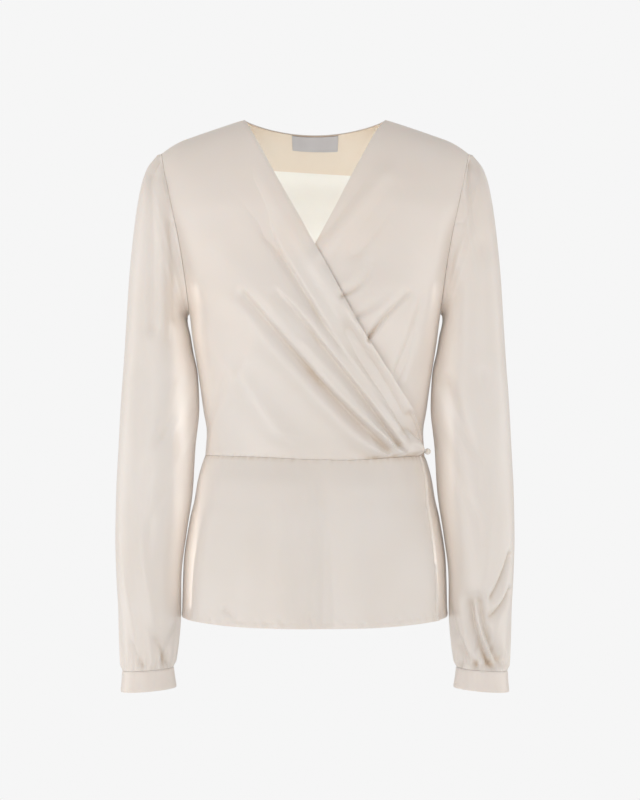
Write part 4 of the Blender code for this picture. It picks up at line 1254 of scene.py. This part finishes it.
RIGHT_SLEEVE_FOLDS = (
    Fold(-184.7, -45, -191.7, -64, 0, 3.4, 4, -4.4, -1.6, 0, 0.4),
    Fold(-195, -70, -193, -246, 1.5, 6, 8, -3.4, -4.0, 0.2, 0.2),
    Fold(-183, -80, -180, -240, 1, 7, 9, 2.2, 2.6),
    Fold(-171, -126, -163.5, -236, 1, 5, 7, -3.0, -4.0, 0.2, 0.2),
    Fold(-178, -150, -172, -262, 1, 4, 6, -1.4, -2.6, 0, 0.2),
    Fold(-160, -316, -178, -374, 2, 10, 9, -4.0, -3.0),
    Fold(-159, -378, -156, -430, 1, 7, 9, -2.8, -1.6),
    Fold(-206, -300, -214, -470, 3, 12, 14, -1.2, -1.6),
    Fold(-183, -470, -190, -600, 2, 12, 14, 1.2, 1.6),
    Fold(-187, -616, -175.3, -641, 1, 4, 3.4, -3.0, -4.4, 0, 0.3),
    Fold(-160, -600, -177.6, -649, -3, 6, 4.4, -2.6, -5.0, 0, 0.3),
    Fold(-213, -626, -202.3, -650, -1, 4.4, 3.6, -2.6, -4.4, 0, 0.3),
    Fold(-196, -610, -190, -650, 0, 5, 4, 2.0, 3.2),
)
LEFT_SLEEVE_FOLDS = (
    Fold(185, -42, 194.8, -156, -5, 5, 9, -7.5, -2.4, 0.2, 0.3),
    Fold(177, -44, 186, -140, -4, 6, 10, 3.0, 1.6),
    Fold(174, -70, 176, -170, 1, 4, 7, -2.4, -1.4, 0, 0.2),
    Fold(166, -125.5, 175.5, -125.5, 0, 2.4, 2.4, -1.2, -0.6, 0, 0.4),
    Fold(200, -150, 203, -270, 1, 8, 12, -2.4, -1.6),
    Fold(156, -318, 179, -376, -2, 8, 9, -4.6, -2.0, 0, 0.1),
    Fold(199, -306.8, 207.3, -343, 0, 8, 8, -2.4, -1.0),
    Fold(230, -520, 209, -566, 2, 3.6, 4.2, -7.0, -5.4, 0.4, 0.3),
    Fold(230, -562, 208, -590, 2, 3.2, 3.8, -7.0, -5.0, 0.4, 0.3),
    Fold(181.4, -577, 206, -645, -4, 7.5, 6.0, -8.0, -10.0, 0, 0.1),
    Fold(186, -590, 203, -640, -3, 17, 13, -3.6, -4.4),
    Fold(188, -578, 209, -636, -3, 4.5, 4, 5.0, 6.0),
    Fold(194.3, -574, 219, -640, -4, 7.0, 5.5, -8.0, -9.0, 0, 0.1),
    Fold(158, -590, 188.4, -650, -4, 5.5, 4.4, -5.0, -7.0, 0, 0.3),
    Fold(189.6, -627, 188.4, -649.3, 0, 2.6, 2.6, -2.4, -3.6, 0, 0.4),
    Fold(176, -610, 182, -648, 0, 5, 4, 2.0, 3.4),
    Fold(209.6, -632, 211, -650, 0, 3.2, 3.2, -3.4, -5.0, 0, 0.3),
    Fold(168, -626, 173, -650, 0, 3, 3, -2.4, -4.4, 0, 0.3),
)
GATHERS, GATHER_RISE, GATHER_FIRST_RING, GATHER_FULL = 8, 2.2, 13.0, 0.8
GATHER_SHARES = (1.0, 0.6, 0.9, 0.5, 1.0, 0.7, 0.55, 0.85)
CUFF_RIPPLE, CUFF_PITCH, CUFF_RADIUS = 0.8, 5.5, 30
EASED_RIPPLE, EASED_PITCH, HEAD_RADIUS = 0.35, 9, 70
SLEEVE_RADIUS, RINGS_BETWEEN, LAST_RING = 50, 12, len(SLEEVE) - 1
FRONT_TURN, SHARED_CUT, GATHER_CUT, RING_FADE = 0.3, 0.55, 0.7, 0.8
HEAD_HOLD, CUFF_HOLD, SEAM_HOLD = 0.35, 0.25, 0.06
print(len(SLEEVE), "rings and", len(SLEEVE_FOLDS), "shared folds")

# %% [markdown]
# The folds that are read from the front must not also appear behind, so they fade out where the tube
# turns to the back, and the shared folds take over there. Close to the cuff the whole ring breaks up
# into small gathers, and close to the armhole into the tiny ripples of an eased seam.

# %% Sleeve surface


def ring_points(table, run, turns, side):
    parts = {name: smooth_curve(range(len(table)), column(table, name), run)
             for name in SleeveRing._fields}
    outer = np.stack([parts["outer"], parts["outer_height"]], -1)
    inner = np.stack([parts["inner"], parts["inner_height"]], -1)
    middle, reach = (outer + inner) / 2, (outer - inner) / 2
    across = middle[:, None] + reach[:, None] * np.cos(turns)[None, :, None]
    y = parts["centre"][:, None] - parts["half_depth"][:, None] * np.sin(turns)[None]
    return np.stack([side * across[..., 0], y, across[..., 1]], -1)


def tube_normal(points, side):
    around = np.roll(points, -1, axis=1) - np.roll(points, 1, axis=1)
    along = np.gradient(points, axis=0)
    return unit(np.cross(around, along) * side)


def shared_folds(run, turns):
    total = np.zeros(np.broadcast(run, turns).shape)
    for fold in SLEEVE_FOLDS:
        share = np.clip((run - fold.ring0) / (fold.ring1 - fold.ring0), 0, 1)
        centre = np.radians(fold.turn0 + share * (fold.turn1 - fold.turn0))
        off = np.arctan2(np.sin(turns - centre), np.cos(turns - centre)) * SLEEVE_RADIUS
        width = fold.width0 + share * (fold.width1 - fold.width0)
        rise = fold.rise0 + share * (fold.rise1 - fold.rise0)
        past = np.maximum(np.maximum(fold.ring0 - run, run - fold.ring1), 0)
        total += rise * np.exp(-(off / width) ** 2 - (past / RING_FADE) ** 2)
    return total


def gathers(run, turns):
    near_cuff = smooth_step((run - GATHER_FIRST_RING) / (LAST_RING - GATHER_FULL - GATHER_FIRST_RING))
    wave = turns / (2 * math.pi) * GATHERS
    share = np.take(GATHER_SHARES, np.floor(wave + 0.5).astype(int) % GATHERS)
    wide = GATHER_RISE * near_cuff * share * np.cos(2 * math.pi * wave)
    close = smooth_step((run - LAST_RING + 1.1) / 0.9) * puckers(turns * CUFF_RADIUS, CUFF_PITCH)
    eased = smooth_step(1 - run / 0.7) * puckers(turns * HEAD_RADIUS, EASED_PITCH)
    return wide, CUFF_RIPPLE * close + EASED_RIPPLE * eased


def sleeve_rise(run, turns, spot, table):
    run, turns = run[:, None], turns[None]
    front = smooth_step(np.sin(turns) / FRONT_TURN)
    wide, small = gathers(run, turns)
    drawn = fold_rise(table, spot[..., 0], spot[..., 2])
    total = shared_folds(run, turns) * (1 - SHARED_CUT * front) + wide * (1 - GATHER_CUT * front)
    total = total + drawn * front
    left = LAST_RING - run
    held = smooth_step(run / HEAD_HOLD) * smooth_step(left / CUFF_HOLD)
    return total * held + small * smooth_step(run / SEAM_HOLD) * smooth_step(left / SEAM_HOLD)


def armhole_loop(side):
    """From the shoulder tip down the front to the underarm, and up the back."""
    front, back = armhole(side, True), armhole(side, False)
    return np.concatenate([front[::-1], back[1:-1]])


def sleeve_walls(side, table):
    loop = armhole_loop(side)
    turns = np.linspace(0, 2 * math.pi, len(loop), endpoint=False)
    run = np.linspace(0, LAST_RING, LAST_RING * RINGS_BETWEEN + 1)
    points = ring_points(SLEEVE, run, turns, side)
    edge = on_torso(loop, WALL + SLEEVE_RAISE)
    normal = torso_normal(loop[:, 0], loop[:, 1])
    away = unit(np.cross(normal, np.roll(edge, -1, axis=0) - np.roll(edge, 1, axis=0)))
    away *= np.sign(away[0, 0]) * side
    start = edge + SLEEVE_GAP * away
    fade = 1 - smooth_step(run / ARMHOLE_FADE)
    points = points + fade[:, None, None] * (start - points[0])[None]
    normal = tube_normal(points, side)
    outer = points + sleeve_rise(run, turns, points, table)[..., None] * normal
    return outer, outer - WALL * normal


def cuff_walls(side):
    """A firm band, a little uneven, with its two edges pinched where they are turned."""
    last = len(CUFF) - 1
    turns = np.linspace(0, 2 * math.pi, 2 * ARMHOLE_STEPS, endpoint=False)
    run = np.linspace(0, last, CUFF_ROWS)
    points = ring_points(CUFF, run, turns, side)
    normal = tube_normal(points, side)
    ends = np.minimum(run, last - run)[:, None]
    wave = puckers(turns[None] * CUFF_RADIUS + run[:, None] * 2, CUFF_WAVE)
    soft = CUFF_SOFTNESS * wave * smooth_step(ends / 0.3)
    pinch = -CUFF_PINCH * np.exp(-(ends / PINCH_REACH) ** 2)
    outer = points + (soft + pinch)[..., None] * normal
    inner = points + (soft - CUFF_WALL - pinch)[..., None] * normal
    return outer, inner


for side, word, table in ((RIGHT, "right", RIGHT_SLEEVE_FOLDS), (LEFT, "left", LEFT_SLEEVE_FOLDS)):
    dress(cloth(word + "_sleeve_satin", *sleeve_walls(side, table), satin, tube=True),
          word + "_sleeve")
    dress(cloth(word + "_cuff_satin", *cuff_walls(side), satin, tube=True),
          word + "_cuff")

# %% [markdown]
# ## Button and loop
# The wrap closes on one pearl button with a shank. A rouleau, a thin tube of the same satin turned
# inside out, leaves the wrap edge, goes round the shank and comes back. Pearl is a dark-edged, milky
# ball: a smooth coat over a slightly uneven body, with light going a little way in.

# %% Pearl button
BALL_RADIUS, SHANK_RADIUS, SHANK_LENGTH = 3.7, 0.9, 2.6
BUTTON_TURN, BUTTON_HEIGHT = math.radians(75.5), -397
LOOP_RADIUS, LOOP_REACH, LOOP_HALF_HEIGHT = 0.6, 10.2, 1.9
OFF_AXIS = (0.13, 0.21, 0.97)  # a direction that the loop never runs along


def build_pearl():
    made, tree, shader = new_material("pearl", 0.22)
    colour = cloud(tree, 220.0, 2.0, (0.80, 0.74, 0.66, 1), (0.88, 0.85, 0.80, 1))
    link(tree, colour, "Color", shader, "Base Color")
    fill(shader, {
        "Coat Weight": 0.8,
        "Coat Roughness": 0.08,
        "Subsurface Weight": 0.3,
        "Subsurface Radius": (1.0, 0.8, 0.6),
        "Subsurface Scale": 0.002,
    })
    return made


def build_button(finish):
    base = chart_at(BUTTON_TURN, BUTTON_HEIGHT)
    foot = on_torso(base, WALL + TRIM_GAP)
    axis = torso_normal(base[0], base[1])
    neck = math.asin(SHANK_RADIUS / BALL_RADIUS)
    centre = SHANK_LENGTH + BALL_RADIUS * math.cos(neck)
    profile = [(0, 0), (SHANK_RADIUS, 0)]
    profile += [(BALL_RADIUS * math.sin(a), centre - BALL_RADIUS * math.cos(a))
                for a in np.linspace(neck, math.pi, 33)]
    profile[-1] = (0, centre + BALL_RADIUS)
    side = unit(np.cross(axis, (0, 0, 1)))
    bm = bmesh.new()
    verts = [bm.verts.new((foot + side * radius + axis * along) * MM) for radius, along in profile]
    edges = [bm.edges.new(pair) for pair in zip(verts, verts[1:])]
    bmesh.ops.spin(bm, geom=verts + edges, cent=foot * MM, axis=axis, angle=2 * math.pi,
                   steps=48, use_merge=True)
    bmesh.ops.remove_doubles(bm, verts=bm.verts[:], dist=SAME_PLACE)
    return finish_piece(bm, "button_pearl", finish)


def cord(name, route, radius, finish, sides=12):
    """A thin round cord along a route of points, closed at both ends."""
    route = np.asarray(route, float)
    heading = unit(np.gradient(route, axis=0))
    aside = unit(np.cross(heading, OFF_AXIS))
    over = np.cross(heading, aside)
    turns = np.linspace(0, 2 * math.pi, sides, endpoint=False)[None, :, None]
    rings = route[:, None] + radius * (np.cos(turns) * aside[:, None] + np.sin(turns) * over[:, None])
    bm, _, _ = placed_grid(rings, True)
    bmesh.ops.holes_fill(bm, edges=bm.edges[:])
    return finish_piece(bm, name, finish)


def loop_route():
    base = chart_at(BUTTON_TURN, BUTTON_HEIGHT)
    centre = on_torso(base, LAYER_LIFT + WALL / 2)
    normal = torso_normal(base[0], base[1])
    back = np.cross((0, 0, 1), normal)
    back *= np.sign(back[1]) / np.linalg.norm(back)
    up = np.cross(normal, back)
    up *= np.sign(up[2])
    bend = [centre + LOOP_HALF_HEIGHT * (back * math.cos(a) + up * math.sin(a))
            for a in np.linspace(-QUARTER, QUARTER, 25)]
    reach = back * (LOOP_REACH - 2 * LOOP_HALF_HEIGHT)
    start = [bend[0] - reach * share for share in np.linspace(1, 0, 9)[:-1]]
    end = [bend[-1] - reach * share for share in np.linspace(0, 1, 9)[1:]]
    return start + bend + end


pearl = build_pearl()
ball = build_button(pearl)
stand_for(ball, "button")
rouleau = cord("loop_rouleau", loop_route(), LOOP_RADIUS, satin)
stand_for(rouleau, "button_loop")
print("button", len(ball.data.polygons), "faces; loop", len(rouleau.data.polygons), "faces")

# %% [markdown]
# ## Sizes
# The finished box is printed beside the box of the plain CAD walls, so both can be compared.

# %% Sizes
cloth_box = [[float(value) for value in corner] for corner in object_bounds()]
for name, box in (("CAD walls", cad_box), ("cloth", cloth_box)):
    print(name, [round((high - low) * 1000, 1) for low, high in zip(*box)], "mm")
print("triangles in the cloth:", sum(triangle_counts))
